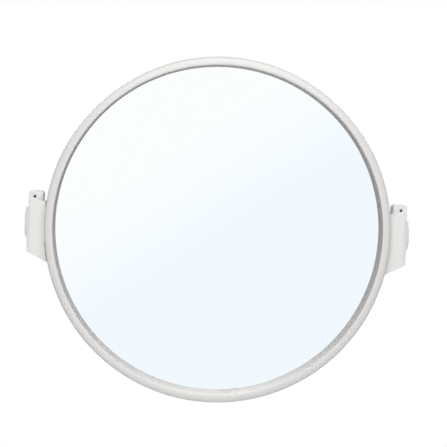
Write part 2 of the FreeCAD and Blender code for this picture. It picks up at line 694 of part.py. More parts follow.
def strip(low_x, high_x, start, end):
    """Flat bar with round ends and three rivet holes between two pivots."""
    start_point = Vector(low_x, *start)
    along = Vector(low_x, *end).sub(start_point)
    side = Vector(1, 0, 0).cross(along).normalize() * (BAR_WIDTH / 2)
    end_point = start_point + along
    corners = [start_point + side, end_point + side, end_point - side, start_point - side]
    bar = prism(corners, Vector(high_x - low_x, 0, 0))
    middle = ((start[0] + end[0]) / 2, (start[1] + end[1]) / 2)
    for pivot in (start, end):
        bar = bar.fuse(across(BAR_WIDTH / 2, low_x, high_x, pivot))
    for pivot in (start, middle, end):
        bar = bar.cut(across(RIVET_R + RUN_FIT, low_x, high_x, pivot))
    return bar.removeSplitter()


def falling_bar(cell):
    """Bar on the left that runs down from its column at the wall's side."""
    return strip(-BAR_OUTER_X, -BAR_INNER_X, upper_pivot(cell - 1), lower_pivot(cell))


def rising_bar(cell):
    """Bar on the right that runs up from its column at the wall's side."""
    return strip(BAR_INNER_X, BAR_OUTER_X, lower_pivot(cell - 1), upper_pivot(cell))


def rivet_head(pivot, inner_x, direction):
    outer_x = inner_x + direction * RIVET_HEAD_HEIGHT
    head = across(RIVET_HEAD_R, inner_x, outer_x, pivot)
    rim = [edge for edge in head.Edges if is_round_at(edge, outer_x)]
    return head.makeFillet(RIVET_HEAD_EDGE_R, rim)


def is_round_at(edge, x):
    return len(edge.Vertexes) == 1 and near(edge.Vertexes[0].X, x)


def rivet(pivot, low_x, high_x):
    """Rivet through everything between low_x and high_x, with a rounded head at each end."""
    shank = across(RIVET_R, low_x - FACE_GAP, high_x + FACE_GAP, pivot)
    left_head = rivet_head(pivot, low_x - FACE_GAP, -1)
    right_head = rivet_head(pivot, high_x + FACE_GAP, 1)
    return shank.fuse(left_head).fuse(right_head).removeSplitter()


def spacer(pivot):
    """Washer stack that keeps the two planes of bars apart at a rivet."""
    reach = BAR_INNER_X - FACE_GAP
    return across(SPACER_R, -reach, reach, pivot).cut(across(RIVET_R + RUN_FIT, -reach, reach, pivot))


def falling_rivets(cell):
    """Rivets carried by a falling bar: its middle one and the one at its lower end."""
    blade_face = BLADE_THICKNESS / 2
    end_high_x = blade_face if cell == CELLS else BAR_OUTER_X
    middle = rivet(middle_pivot(cell), -BAR_OUTER_X, BAR_OUTER_X)
    end = rivet(lower_pivot(cell), -BAR_OUTER_X, end_high_x)
    return Part.makeCompound([middle, end])


def rising_rivets(cell):
    """Rivets carried by a rising bar: its upper one, and on the first the rear slot's rivet too."""
    blade_face = BLADE_THICKNESS / 2
    end_low_x = -blade_face if cell == CELLS else -BAR_OUTER_X
    rivets = [rivet(upper_pivot(cell), end_low_x, BAR_OUTER_X)]
    if cell == 1:
        rivets.append(rivet(lower_pivot(0), -blade_face, BAR_OUTER_X))
    return Part.makeCompound(rivets)


def falling_spacers(cell):
    spacers = [spacer(middle_pivot(cell))]
    if cell < CELLS:
        spacers.append(spacer(lower_pivot(cell)))
    return Part.makeCompound(spacers)


def rear_post_rivet():
    return rivet(upper_pivot(0), -BAR_OUTER_X, BLADE_THICKNESS / 2)


# ---- wall plate -----------------------------------------------------------------------------


def wall_plate():
    """Plate with round ends, a lug above and below for the wall pin, and two screw holes."""
    plate = Part.makeBox(
        PLATE_WIDTH, PLATE_THICKNESS, 2 * PLATE_HALF_HEIGHT,
        Vector(-PLATE_WIDTH / 2, -PLATE_THICKNESS, -PLATE_HALF_HEIGHT),
    )
    upright = [edge for edge in plate.Edges if runs_through_plate(edge)]
    plate = plate.makeFillet(PLATE_CORNER_R, upright)
    front = [edge for edge in plate.Edges if all(near(v.Y, -PLATE_THICKNESS) for v in edge.Vertexes)]
    plate = plate.makeFillet(PLATE_EDGE_R, front)
    for lug_z in (LUG_INNER_Z, -LUG_OUTER_Z):
        root_y = -PLATE_THICKNESS / 2
        plate = plate.fuse(hinge_lug(LUG_R, root_y, -WALL_AXIS_OFFSET, lug_z, LUG_THICKNESS))
    plate = plate.removeSplitter()
    roots = [edge for edge in plate.Edges if is_lug_root(edge)]
    plate = plate.makeFillet(LUG_ROOT_R, roots)
    for hole_z in (WALL_SCREW_Z, -WALL_SCREW_Z):
        back = Vector(0, 0, hole_z)
        front = Vector(0, -PLATE_THICKNESS, hole_z)
        chamfer = Part.makeCone(
            WALL_SCREW_R + WALL_SCREW_CHAMFER, WALL_SCREW_R, WALL_SCREW_CHAMFER,
            front, Vector(0, 1, 0),
        )
        plate = plate.cut(rod(WALL_SCREW_R, back, front)).cut(chamfer)
    return plate


def runs_through_plate(edge):
    first, last = (vertex.Point for vertex in edge.Vertexes)
    return not near(first.y, last.y)


def is_lug_root(edge):
    points = [vertex.Point for vertex in edge.Vertexes]
    on_plate = all(near(point.y, -PLATE_THICKNESS) for point in points)
    at_lug = all(near(abs(point.x), LUG_R) for point in points)
    return on_plate and at_lug


# ---- all the pieces -------------------------------------------------------------------------


def pieces():
    yoke_half = HUB_LUG_OUTER
    barrel_half = HUB_BARREL_LENGTH / 2
    named = {
        "wall_plate": wall_plate(),
        "wall_pin": hinge_pin(-WALL_AXIS_OFFSET, 0, LUG_OUTER_Z),
        "wall_pin_clip": pin_clip(-WALL_AXIS_OFFSET, 0, LUG_OUTER_Z),
        "wall_washers": barrel_washers(-WALL_AXIS_OFFSET, 0, POST_HALF_HEIGHT),
        "rear_post": rear_post(),
        "rear_post_rivet": rear_post_rivet(),
        "front_post": front_post(),
        "yoke_bow": yoke_bow(),
        "yoke_pin": hinge_pin(YOKE_AXIS_Y, HUB_Z, yoke_half),
        "yoke_pin_clip": pin_clip(YOKE_AXIS_Y, HUB_Z, yoke_half),
        "yoke_washers": barrel_washers(YOKE_AXIS_Y, HUB_Z, barrel_half),
        "side_bracket_left": mirrored(side_bracket()),
        "side_bracket_right": side_bracket(),
        "bracket_screws": bracket_screws(),
        "pivot_cap_left": mirrored(pivot_cap()),
        "pivot_cap_right": pivot_cap(),
        "wave_washers": wave_washers(),
        "pivot_screws": pivot_screws(),
        "friction_washers": friction_washers(),
        "bezel_ring": bezel_ring(),
        "mirror_glass": mirror_glass(),
        "foam_pad": foam_pad(),
        "backing_board": backing_board(),
        "rear_cover": rear_cover(),
    }
    for cell in range(1, CELLS + 1):
        named[f"falling_bar_{cell}"] = falling_bar(cell)
        named[f"falling_rivets_{cell}"] = falling_rivets(cell)
        named[f"falling_spacers_{cell}"] = falling_spacers(cell)
        named[f"rising_bar_{cell}"] = rising_bar(cell)
        named[f"rising_rivets_{cell}"] = rising_rivets(cell)
        if cell < CELLS:
            named[f"rising_spacer_{cell}"] = spacer(upper_pivot(cell))
    return named


os.makedirs("parts", exist_ok=True)
for name, shape in pieces().items():
    shape.exportStep(f"parts/{name}.step")
    print(f"{name}: solids {len(shape.Solids)}, volume {shape.Volume:.1f} mm3, valid {shape.isValid()}")
print(f"tilt axis at y = {TILT_Y:.2f}, hub at z = {HUB_Z:.2f}")
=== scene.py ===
"""Looks of the extendable shaving mirror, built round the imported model.

Metres, +Z up; the wall is the plane y = 0 and the mirror faces -Y.
"""

import json
import math

import bmesh
import bpy
from mathutils import Matrix, Vector

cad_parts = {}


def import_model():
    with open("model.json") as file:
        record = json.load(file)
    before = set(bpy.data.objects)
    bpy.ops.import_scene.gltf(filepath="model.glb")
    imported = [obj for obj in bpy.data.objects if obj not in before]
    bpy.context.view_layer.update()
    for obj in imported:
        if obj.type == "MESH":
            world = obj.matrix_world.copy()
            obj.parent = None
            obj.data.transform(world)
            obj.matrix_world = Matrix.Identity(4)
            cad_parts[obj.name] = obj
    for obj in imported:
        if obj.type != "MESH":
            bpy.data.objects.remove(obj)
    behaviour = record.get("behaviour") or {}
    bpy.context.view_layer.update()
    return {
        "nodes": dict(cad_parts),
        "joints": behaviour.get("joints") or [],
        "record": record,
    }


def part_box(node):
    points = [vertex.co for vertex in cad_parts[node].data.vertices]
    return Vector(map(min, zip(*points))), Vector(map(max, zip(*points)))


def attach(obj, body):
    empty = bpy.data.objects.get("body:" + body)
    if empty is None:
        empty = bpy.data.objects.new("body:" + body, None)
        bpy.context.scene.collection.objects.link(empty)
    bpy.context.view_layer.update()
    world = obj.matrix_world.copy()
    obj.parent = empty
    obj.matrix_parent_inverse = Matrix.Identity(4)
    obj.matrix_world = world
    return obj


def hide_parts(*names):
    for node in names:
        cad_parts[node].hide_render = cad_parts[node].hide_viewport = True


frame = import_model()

NODES = frame["nodes"]
RECORD = frame["record"]
JOINTS = {joint["name"]: joint for joint in frame["joints"]}
SLOTS = {part["node"]: part["material_slot"] for part in RECORD["subparts"]}
BODIES = {node: body for body, nodes in RECORD["behaviour"]["bodies"].items() for node in nodes}
MM = 0.001

# Attributes that the made meshes carry for their finishes.
EDGE_MARK = "edge_mark"
STRIP_PLACE = "strip_place"
HEAD_MARK = "head"

# Places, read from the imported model.
RING_LOW, RING_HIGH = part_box("bezel_ring")
GLASS_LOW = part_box("mirror_glass")[0]
COVER_LOW, COVER_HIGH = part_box("rear_cover")
TILT_AXIS = Vector(JOINTS["mirror_tilt"]["pos_m"])
RING_R = (RING_HIGH.z - RING_LOW.z) / 2
RING_CENTRE = Vector((0.0, RING_LOW.y, TILT_AXIS.z))

# Ring, as turned.
RING_FACE_WIDTH = 5.0 * MM
RING_WALL = 3.5 * MM
RING_NOSE_R = 2.5 * MM
RING_INNER_EDGE_R = 0.6 * MM
RING_REAR_EDGE_R = 0.6 * MM
RING_CREST_SLOPE = math.radians(25.0)
PIVOT_PAD_R = 5.5 * MM

# Rear cover.
COVER_DOME_RISE = 5.5 * MM
COVER_EDGE_R = 0.8 * MM
COVER_GROOVE_R = 78.0 * MM
COVER_GROOVE_HALF = 0.9 * MM
COVER_GROOVE_DEPTH = 0.5 * MM

# Pivot caps.
CAP_PROUD = 2.65 * MM
CAP_EDGE_R = 0.7 * MM
CAP_DOME_RISE = 0.5 * MM

# Domed heads: the share of the height that the dome is worked out to, and how finely it is made.
DOME_REACH = 0.97
HEAD_SEGMENTS = 48
HEAD_RINGS = 12

# Rivets; a larger fullness gives a flatter crown.
RIVET_SHANK_R = 2.5 * MM
RIVET_HEAD_HEIGHT = 1.6 * MM
RIVET_FULLNESS = 2.4

# Bracket screws: pan heads with a cross recess; the thread's depth is a share of the shank's radius.
SCREW_FULLNESS = 3.2
SCREW_SHANK_R = 1.4 * MM
SCREW_HEAD_HEIGHT = 1.8 * MM
SCREW_THREAD_DEPTH = 0.12
SCREW_TURNS = 9
STEPS_EACH_TURN = 4
RECESS_LENGTH = 3.0 * MM
RECESS_WIDTH = 0.7 * MM
RECESS_DEPTH = 1.1 * MM

# Push-on rings that hold the hinge pins; a tooth is a share of the rim's thickness.
RING_TEETH = 6
TOOTH_WIDTH = 1.5 * MM
TOOTH_TILT = math.radians(14.0)
TOOTH_THIN = 0.4
PIN_R = 3.0 * MM
PUSH_RIM_WIDTH = 1.3 * MM

# Edges of the moulded and stamped pieces.
MOULDED_EDGE = 0.45 * MM
BRACKET_EDGE = 0.22 * MM
STAMPED_EDGE = 0.22 * MM
PIN_EDGE = 0.3 * MM

# Camera: it looks at the mirror from a little above and to the left of its axis.
CAMERA_DISTANCE = 0.65
CAMERA_AZIMUTH = math.radians(-1.9)
CAMERA_ELEVATION = math.radians(4.0)
CAMERA_ROLL = math.radians(2.35)
FIELD_WIDTH = 0.2567
FRAME_OFFSET = (0.0115, 0.0183)
SENSOR = 36.0

# How finely meshes are made, and how they are smoothed and marked.
MERGE_DISTANCE = 1e-6
FLAT_ANGLE = math.radians(0.5)
EDGE_ANGLE = math.radians(40.0)
SMOOTH_ANGLE = math.radians(35.0)
EASED_SMOOTH_ANGLE = math.radians(25.0)
EVEN_NORMAL_WEIGHT = 80
EDGE_MARK_TURNS = (math.radians(18.0), math.radians(28.0))
EASED_SEGMENTS = 3
RING_SEGMENTS = 256
CAP_SEGMENTS = 96
INNER_EDGE_STEPS = 8
CREST_STEPS = 10
NOSE_STEPS = 10
REAR_EDGE_STEPS = 4
DOME_STEPS = 24
RIM_STEPS = 5
CAP_FACE_STEPS = 8
CAP_EDGE_STEPS = 6

# Range that most of a noise's values lie in.
MOST_OF_NOISE = (0.3, 0.7)

# Moulded plastic: how fine its clouds, gloss, grain and flow are, and how deep the grain is.
CLOUD_SCALE = 38.0
CLOUD_SHADE = (0.55, 0.54, 0.50, 1.0)
GLOSS_SCALE = 90.0
GRAIN_SCALE = 2600.0
FLOW_SCALE = 55.0
FLOW_SHARE = 3.0
GRAIN_DEPTH = 0.00002

# Worked metal: its drawn lines run along the third axis.
LINE_STRETCH = (1.0, 1.0, 0.05)
LINE_SCALE = 1500.0
LINE_SHADE = (0.72, 0.71, 0.69, 1.0)
LINE_FADE = (0.35, 0.75, 0.0, 0.25)
LINE_DEPTH = 0.00003
PATCH_SCALE = 60.0

# Rubbed edges: their patches, and how much paler and glossier they are on plastic and on metal.
WEAR_SCALE = 140.0
WEAR_SPREAD = (0.35, 0.65, 0.3, 1.0)
PLASTIC_PALER, PLASTIC_GLOSSIER = 1.06, 0.7
METAL_PALER, METAL_GLOSSIER = 1.12, 0.8
METAL_WEAR = 0.4

# Silvered glass: faint haze and tint.
HAZE_SCALE = 25.0
HAZE_SPREAD = (0.4, 0.8, 0.0, 0.012)
TINT_SCALE = 8.0
GLASS_TINTS = ((0.985, 0.99, 0.99, 1.0), (0.975, 0.985, 0.99, 1.0))

# Floor of the studio, and how much of the part's depth its middle lies before the wall.
FLOOR_COLOUR = (0.82, 0.82, 0.81, 1.0)
FLOOR_ROUGHNESS = 0.9
FLOOR_R = 1.2
FLOOR_DROP = 0.6
FLOOR_FORWARD = 1 / 3
FLOOR_SEGMENTS = 96

# Backdrop and soft light.
WHITE = (1.0, 1.0, 1.0, 1.0)
SOFT_COLOUR = (1.0, 0.995, 0.985, 1.0)
SOFT_STRENGTH = 0.17

# Room that the mirror shows: a slanting band where it fades, and how far it reaches to the sides.
# It shows in first reflections, whose rays count one bounce more at the backdrop.
FIRST_REFLECTION = 2.5
ROOM_ABOVE = (0.985, 1.0, 1.0, 1.0)
ROOM_BELOW = (0.893, 0.95, 1.0, 1.0)
ROOM_SLANT = (0.555, 0.0, -0.832)
ROOM_BAND = (-0.016, 0.106)
ROOM_EDGE = (0.86, 0.95)

# Past the room's sides, gloss shows greys that grow paler upwards.
SIDE_RISE = (-0.35, 0.5)
SIDE_GREYS = (0.45, 0.80)

# Lamps, with their distance, azimuth, elevation, size, power, and whether gloss shows them.
LAMPS = [
    ("key", 2.2, 2.0, 35.0, (2.1, 1.5), 29.0, True),
    ("top", 1.6, 10.0, 60.0, (1.2, 0.4), 6.5, True),
    ("fill", 1.5, -10.0, -30.0, (0.9, 0.9), 8.5, False),
    ("rear left", 1.7, -145.0, 30.0, (0.8, 0.8), 7.0, True),
    ("rear right", 1.7, 145.0, 30.0, (0.8, 0.8), 7.0, True),
]


# ---- node helpers ----------------------------------------------------------------------------


class Graph:
    """A node tree with short calls for adding and joining nodes."""

    def __init__(self, tree):
        self.tree = tree

    def add(self, kind, **settings):
        node = self.tree.nodes.new(kind)
        for name, value in settings.items():
            setattr(node, name, value)
        return node

    def join(self, output, target):
        self.tree.links.new(output, target)

    def feed(self, target, value):
        """Join an output to the target socket, or set the socket to a plain value."""
        if isinstance(value, bpy.types.NodeSocket):
            self.join(value, target)
        else:
            target.default_value = value

    def group(self, node_group, **values):
        node = self.add("ShaderNodeGroup", node_tree=node_group)
        for name, value in values.items():
            node.inputs[name.replace("_", " ")].default_value = value
        return node


def math_of(graph, operation, *values):
    """Result of a math node over numbers or outputs."""
    node = graph.add("ShaderNodeMath", operation=operation)
    for slot, value in enumerate(values):
        graph.feed(node.inputs[slot], value)
    return node.outputs[0]


def vector_of(graph, **parts):
    """Vector put together from numbers or outputs by axis."""
    node = graph.add("ShaderNodeCombineXYZ")
    for axis, value in parts.items():
        graph.feed(node.inputs[axis], value)
    return node.outputs[0]


def mix_of(shader, kind, share, first, second, blend="MIX"):
    """Two colours or numbers mixed by the share of the second."""
    node = shader.add("ShaderNodeMix", data_type=kind, blend_type=blend)
    shader.feed(node.inputs["Factor"], share)
    shader.feed(node.inputs["A"], first)
    shader.feed(node.inputs["B"], second)
    return node.outputs["Result"]


def noise(shader, vector, scale, detail=3.0, roughness=0.5):
    """Noise over the vector, from 0 to 1."""
    node = shader.add("ShaderNodeTexNoise")
    node.inputs["Detail"].default_value = detail
    node.inputs["Roughness"].default_value = roughness
    node.inputs["Scale"].default_value = scale
    shader.join(vector, node.inputs["Vector"])
    return node.outputs["Fac"]


def remap(shader, value, low, high, to_low, to_high, soft=False):
    """Carry the value's range over to another; the ends are numbers or outputs."""
    node = shader.add("ShaderNodeMapRange", interpolation_type="SMOOTHSTEP" if soft else "LINEAR")
    shader.join(value, node.inputs["Value"])
    for label, amount in (("From Min", low), ("From Max", high), ("To Min", to_low), ("To Max", to_high)):
        shader.feed(node.inputs[label], amount)
    return node.outputs["Result"]


def bumped(shader, height, strength, depth):
    """Normal of a surface raised by the height."""
    node = shader.add("ShaderNodeBump")
    node.inputs["Distance"].default_value = depth
    shader.join(strength, node.inputs["Strength"])
    shader.join(height, node.inputs["Height"])
    return node.outputs["Normal"]


def background(shader, colour, strength=1.0):
    """Light that comes from all around."""
    node = shader.add("ShaderNodeBackground")
    node.inputs["Strength"].default_value = strength
    shader.feed(node.inputs["Color"], colour)
    return node.outputs["Background"]


def blended(shader, share, first, second):
    """Two shaders mixed by the share of the second."""
    node = shader.add("ShaderNodeMixShader")
    shader.join(share, node.inputs["Fac"])
    shader.join(first, node.inputs[1])
    shader.join(second, node.inputs[2])
    return node.outputs["Shader"]


def new_group(name, inputs, outputs):
    """Shader node group with named sockets; returns the group, its shader helper and both ends."""
    group = bpy.data.node_groups.new(name, "ShaderNodeTree")
    for label, kind, default in inputs:
        socket = group.interface.new_socket(label, in_out="INPUT", socket_type=kind)
        if default is not None:
            socket.default_value = default
    for label, kind in outputs:
        group.interface.new_socket(label, in_out="OUTPUT", socket_type=kind)
    shader = Graph(group)
    start = shader.add("NodeGroupInput")
    end = shader.add("NodeGroupOutput")
    return group, shader, start, end


def edge_wear_group():
    """Rubbed edges: a little paler and glossier where the surface turns sharply."""
    inputs = [
        ("Colour", "NodeSocketColor", (0.8, 0.8, 0.8, 1.0)),
        ("Roughness", "NodeSocketFloat", 0.4),
        ("Vector", "NodeSocketVector", None),
        ("Worn colour", "NodeSocketColor", (0.9, 0.9, 0.9, 1.0)),
        ("Worn roughness", "NodeSocketFloat", 0.2),
        ("Amount", "NodeSocketFloat", 0.3),
    ]
    outputs = [("Colour", "NodeSocketColor"), ("Roughness", "NodeSocketFloat")]
    group, shader, start, end = new_group("edge wear", inputs, outputs)
    mark = shader.add("ShaderNodeAttribute", attribute_name=EDGE_MARK)
    patches = remap(shader, noise(shader, start.outputs["Vector"], WEAR_SCALE), *WEAR_SPREAD)
    worn = math_of(shader, "MULTIPLY", mark.outputs["Fac"], patches)
    share = math_of(shader, "MULTIPLY", worn, start.outputs["Amount"])
    colour = mix_of(shader, "RGBA", share, start.outputs["Colour"], start.outputs["Worn colour"])
    shader.join(colour, end.inputs["Colour"])
    gloss = mix_of(shader, "FLOAT", share, start.outputs["Roughness"], start.outputs["Worn roughness"])
    shader.join(gloss, end.inputs["Roughness"])
    return group


def moulded_group():
    """Moulded plastic: faint cloudiness in the colour, uneven gloss and a very fine grain."""
    inputs = [
        ("Vector", "NodeSocketVector", None),
        ("Colour", "NodeSocketColor", (0.8, 0.8, 0.8, 1.0)),
        ("Cloud", "NodeSocketFloat", 0.02),
        ("Gloss low", "NodeSocketFloat", 0.2),
        ("Gloss high", "NodeSocketFloat", 0.3),
        ("Grain", "NodeSocketFloat", 0.05),
    ]
    outputs = [
        ("Colour", "NodeSocketColor"),
        ("Roughness", "NodeSocketFloat"),
        ("Normal", "NodeSocketVector"),
    ]
    group, shader, start, end = new_group("moulded plastic", inputs, outputs)
    cloud = noise(shader, start.outputs["Vector"], CLOUD_SCALE, detail=4.0)
    darker = math_of(shader, "MULTIPLY", cloud, start.outputs["Cloud"])
    colour = mix_of(shader, "RGBA", darker, start.outputs["Colour"], CLOUD_SHADE, "MULTIPLY")
    shader.join(colour, end.inputs["Colour"])
    uneven = noise(shader, start.outputs["Vector"], GLOSS_SCALE)
    gloss = remap(shader, uneven, *MOST_OF_NOISE, start.outputs["Gloss low"], start.outputs["Gloss high"])
    shader.join(gloss, end.inputs["Roughness"])
    grain = noise(shader, start.outputs["Vector"], GRAIN_SCALE, detail=2.0)
    flow = noise(shader, start.outputs["Vector"], FLOW_SCALE, detail=2.0)
    height = math_of(shader, "MULTIPLY_ADD", flow, FLOW_SHARE, grain)
    shader.join(bumped(shader, height, start.outputs["Grain"], GRAIN_DEPTH), end.inputs["Normal"])
    return group


def metal_group():
    """Worked metal: long drawn lines and a few fine scratches, with the gloss they leave."""
    inputs = [
        ("Vector", "NodeSocketVector", None),
        ("Colour", "NodeSocketColor", (0.7, 0.7, 0.7, 1.0)),
        ("Lines", "NodeSocketFloat", 0.1),
        ("Gloss low", "NodeSocketFloat", 0.1),
        ("Gloss high", "NodeSocketFloat", 0.3),
    ]
    outputs = [
        ("Colour", "NodeSocketColor"),
        ("Roughness", "NodeSocketFloat"),
        ("Normal", "NodeSocketVector"),
    ]
    group, shader, start, end = new_group("worked metal", inputs, outputs)
    stretch = shader.add("ShaderNodeVectorMath", operation="MULTIPLY")
    stretch.inputs[1].default_value = LINE_STRETCH
    shader.join(start.outputs["Vector"], stretch.inputs[0])
    lines = noise(shader, stretch.outputs["Vector"], LINE_SCALE, detail=4.0, roughness=0.7)
    fade = remap(shader, lines, *LINE_FADE)
    colour = mix_of(shader, "RGBA", fade, start.outputs["Colour"], LINE_SHADE, "MULTIPLY")
    shader.join(colour, end.inputs["Colour"])
    patches = noise(shader, start.outputs["Vector"], PATCH_SCALE)
    gloss = remap(shader, patches, *MOST_OF_NOISE, start.outputs["Gloss low"], start.outputs["Gloss high"])
    shader.join(gloss, end.inputs["Roughness"])
    shader.join(bumped(shader, lines, start.outputs["Lines"], LINE_DEPTH), end.inputs["Normal"])
    return group


MOULDED = moulded_group()
WORKED_METAL = metal_group()
EDGE_WEAR = edge_wear_group()


def new_material(name):
    """Material with its graph, its surface shader and the object coordinates."""
    material = bpy.data.materials.new(name)
    material.use_nodes = True
    shader = Graph(material.node_tree)
    surface = material.node_tree.nodes["Principled BSDF"]
    place = shader.add("ShaderNodeTexCoord")
    return material, shader, surface, place.outputs["Object"]


def finished(shader, surface, base, place, worn_colour, worn_roughness, wear):
    """Wear a base finish along its edges and lead it to the surface."""
    worn = shader.group(
        EDGE_WEAR, Worn_colour=(*worn_colour, 1.0), Worn_roughness=worn_roughness, Amount=wear)
    shader.join(place, worn.inputs["Vector"])
    shader.join(base.outputs["Colour"], worn.inputs["Colour"])
    shader.join(base.outputs["Roughness"], worn.inputs["Roughness"])
    shader.join(worn.outputs["Colour"], surface.inputs["Base Color"])
    shader.join(worn.outputs["Roughness"], surface.inputs["Roughness"])
    shader.join(base.outputs["Normal"], surface.inputs["Normal"])


def plastic(name, colour, gloss, cloud=0.05, grain=0.05, wear=0.25):
    """Moulded finish with a range of gloss."""
    material, shader, surface, place = new_material(name)
    moulded = shader.group(
        MOULDED, Colour=(*colour, 1.0), Cloud=cloud, Gloss_low=gloss[0], Gloss_high=gloss[1], Grain=grain)
    shader.join(place, moulded.inputs["Vector"])
    paler = [min(1.0, PLASTIC_PALER * part) for part in colour]
    finished(shader, surface, moulded, place, paler, gloss[0] * PLASTIC_GLOSSIER, wear)
    return material


def metal(name, colour, gloss, lines=0.15, strip=False):
    """Metal finish; on a strip the drawn lines follow the strip's length."""
    material, shader, surface, place = new_material(name)
    if strip:
        place = shader.add("ShaderNodeAttribute", attribute_name=STRIP_PLACE).outputs["Vector"]
    worked = shader.group(
        WORKED_METAL, Colour=(*colour, 1.0), Lines=lines, Gloss_low=gloss[0], Gloss_high=gloss[1])
    shader.join(place, worked.inputs["Vector"])
    paler = [min(1.0, METAL_PALER * part) for part in colour]
    finished(shader, surface, worked, place, paler, gloss[0] * METAL_GLOSSIER, METAL_WEAR)
    surface.inputs["Metallic"].default_value = 1.0
    return material


def silvered_glass():
    """Mirror with a trace of haze and tint."""
    material, shader, surface, place = new_material("silvered glass")
    surface.inputs["Metallic"].default_value = 1.0
    haze = remap(shader, noise(shader, place, HAZE_SCALE, detail=2.0), *HAZE_SPREAD)
    shader.join(haze, surface.inputs["Roughness"])
    tint = mix_of(shader, "RGBA", noise(shader, place, TINT_SCALE, detail=1.0), *GLASS_TINTS)
    shader.join(tint, surface.inputs["Base Color"])
    return material


MATERIALS = {
    "ring_plastic": plastic("ring plastic", (0.765, 0.757, 0.745), (0.26, 0.34), cloud=0.03, grain=0.02),
    "bracket_plastic": plastic("bracket plastic", (0.80, 0.795, 0.785), (0.40, 0.50)),
    "mount_plastic": plastic("mount plastic", (0.80, 0.795, 0.785), (0.36, 0.46)),
    "mirror_glass": silvered_glass(),
    "foam": plastic("foam", (0.035, 0.035, 0.038), (0.8, 0.95), cloud=0.5, grain=1.0, wear=0.0),
    "board": plastic("fibreboard", (0.32, 0.22, 0.13), (0.7, 0.9), cloud=0.6, grain=1.0, wear=0.0),
    "bar_steel": metal("chromed strip", (0.80, 0.81, 0.82), (0.14, 0.22), lines=0.10, strip=True),
    "rivet_steel": metal("plated rivet", (0.74, 0.75, 0.76), (0.16, 0.28), lines=0.05),
    "nylon": plastic("natural nylon", (0.78, 0.77, 0.72), (0.35, 0.5), cloud=0.1, grain=0.1),
    "rubber": plastic("black rubber", (0.02, 0.02, 0.021), (0.6, 0.8), cloud=0.3, grain=0.3, wear=0.0),
    "spring_steel": metal("spring steel", (0.55, 0.56, 0.58), (0.2, 0.35)),
    "dark_screw_steel": metal("blackened screw", (0.05, 0.05, 0.055), (0.35, 0.5), lines=0.05),
    "screw_steel": metal("zinc plated screw", (0.66, 0.67, 0.69), (0.2, 0.35), lines=0.05),
    "pin_steel": metal("zinc plated pin", (0.68, 0.69, 0.71), (0.16, 0.3)),
}


def dress_cad_nodes():
    """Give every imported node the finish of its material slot."""
    for name, finish in SLOTS.items():
        node = NODES[name]
        if not node.material_slots:
            node.data.materials.append(MATERIALS[finish])
        for slot in node.material_slots:
            slot.material = MATERIALS[finish]


# ---- pieces ----------------------------------------------------------------------------------


def link(name, data):
    """Put a new object with this data into the scene."""
    added = bpy.data.objects.new(name, data)
    bpy.context.scene.collection.objects.link(added)
    return added


def stand_in(piece, *nodes):
    """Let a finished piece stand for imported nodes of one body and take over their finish."""
    slot = SLOTS[nodes[0]]
    piece.data.materials.clear()
    piece.data.materials.append(MATERIALS[slot])
    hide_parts(*nodes)
    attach(piece, BODIES[nodes[0]])


def smooth(mesh, sharp_angle):
    """Shade smoothly, apart from edges sharper than the angle."""
    mesh.polygons.foreach_set("use_smooth", [True] * len(mesh.polygons))
    mesh.set_sharp_from_angle(angle=sharp_angle)


def applied(piece):
    """Turn a piece's live modifiers into a plain mesh."""
    depsgraph = bpy.context.evaluated_depsgraph_get()
    mesh = bpy.data.meshes.new_from_object(piece.evaluated_get(depsgraph))
    mesh.name = piece.name
    piece.modifiers.clear()
    piece.data = mesh


def mark_edges(mesh):
    """Note on each point how sharply the surface turns there, from 0 to 1."""
    bm = bmesh.new()
    bm.from_mesh(mesh)
    low, high = EDGE_MARK_TURNS
    marks = []
    for vert in bm.verts:
        normals = [face.normal for face in vert.link_faces]
        turn = max((one.angle(other, 0.0) for one in normals for other in normals), default=0.0)
        marks.append(min(1.0, max(0.0, (turn - low) / (high - low))))
    bm.free()
    mesh.attributes.new(EDGE_MARK, "FLOAT", "POINT").data.foreach_set("value", marks)


def mark_strip(mesh):
    """Note each point's place in a strip's own frame, with the strip's length as the third number."""
    middle = sum((vert.co for vert in mesh.vertices), Vector()) / len(mesh.vertices)
    offsets = [vert.co - middle for vert in mesh.vertices]
    slope = 2 * sum(offset.y * offset.z for offset in offsets)
    spread = sum(offset.y ** 2 - offset.z ** 2 for offset in offsets)
    turn = Matrix.Rotation(math.pi / 2 - 0.5 * math.atan2(slope, spread), 3, "X")
    places = [part for offset in offsets for part in turn @ offset]
    mesh.attributes.new(STRIP_PLACE, "FLOAT_VECTOR", "POINT").data.foreach_set("vector", places)


def merged(node):
    """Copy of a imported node's mesh with its loose triangles joined."""
    bm = bmesh.new()
    bm.from_mesh(NODES[node].data)
    bmesh.ops.remove_doubles(bm, verts=bm.verts, dist=MERGE_DISTANCE)
    return bm


def solids(node):
    """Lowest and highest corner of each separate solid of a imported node."""
    bm = merged(node)
    left = set(bm.verts)
    boxes = []
    while left:
        reached = [left.pop()]
        points = []
        while reached:
            vert = reached.pop()
            points.append(vert.co.copy())
            for edge in vert.link_edges:
                other = edge.other_vert(vert)
                if other in left:
                    left.remove(other)
                    reached.append(other)
        boxes.append((
            Vector([min(point[axis] for point in points) for axis in range(3)]),
            Vector([max(point[axis] for point in points) for axis in range(3)]),
        ))
    bm.free()
    return boxes


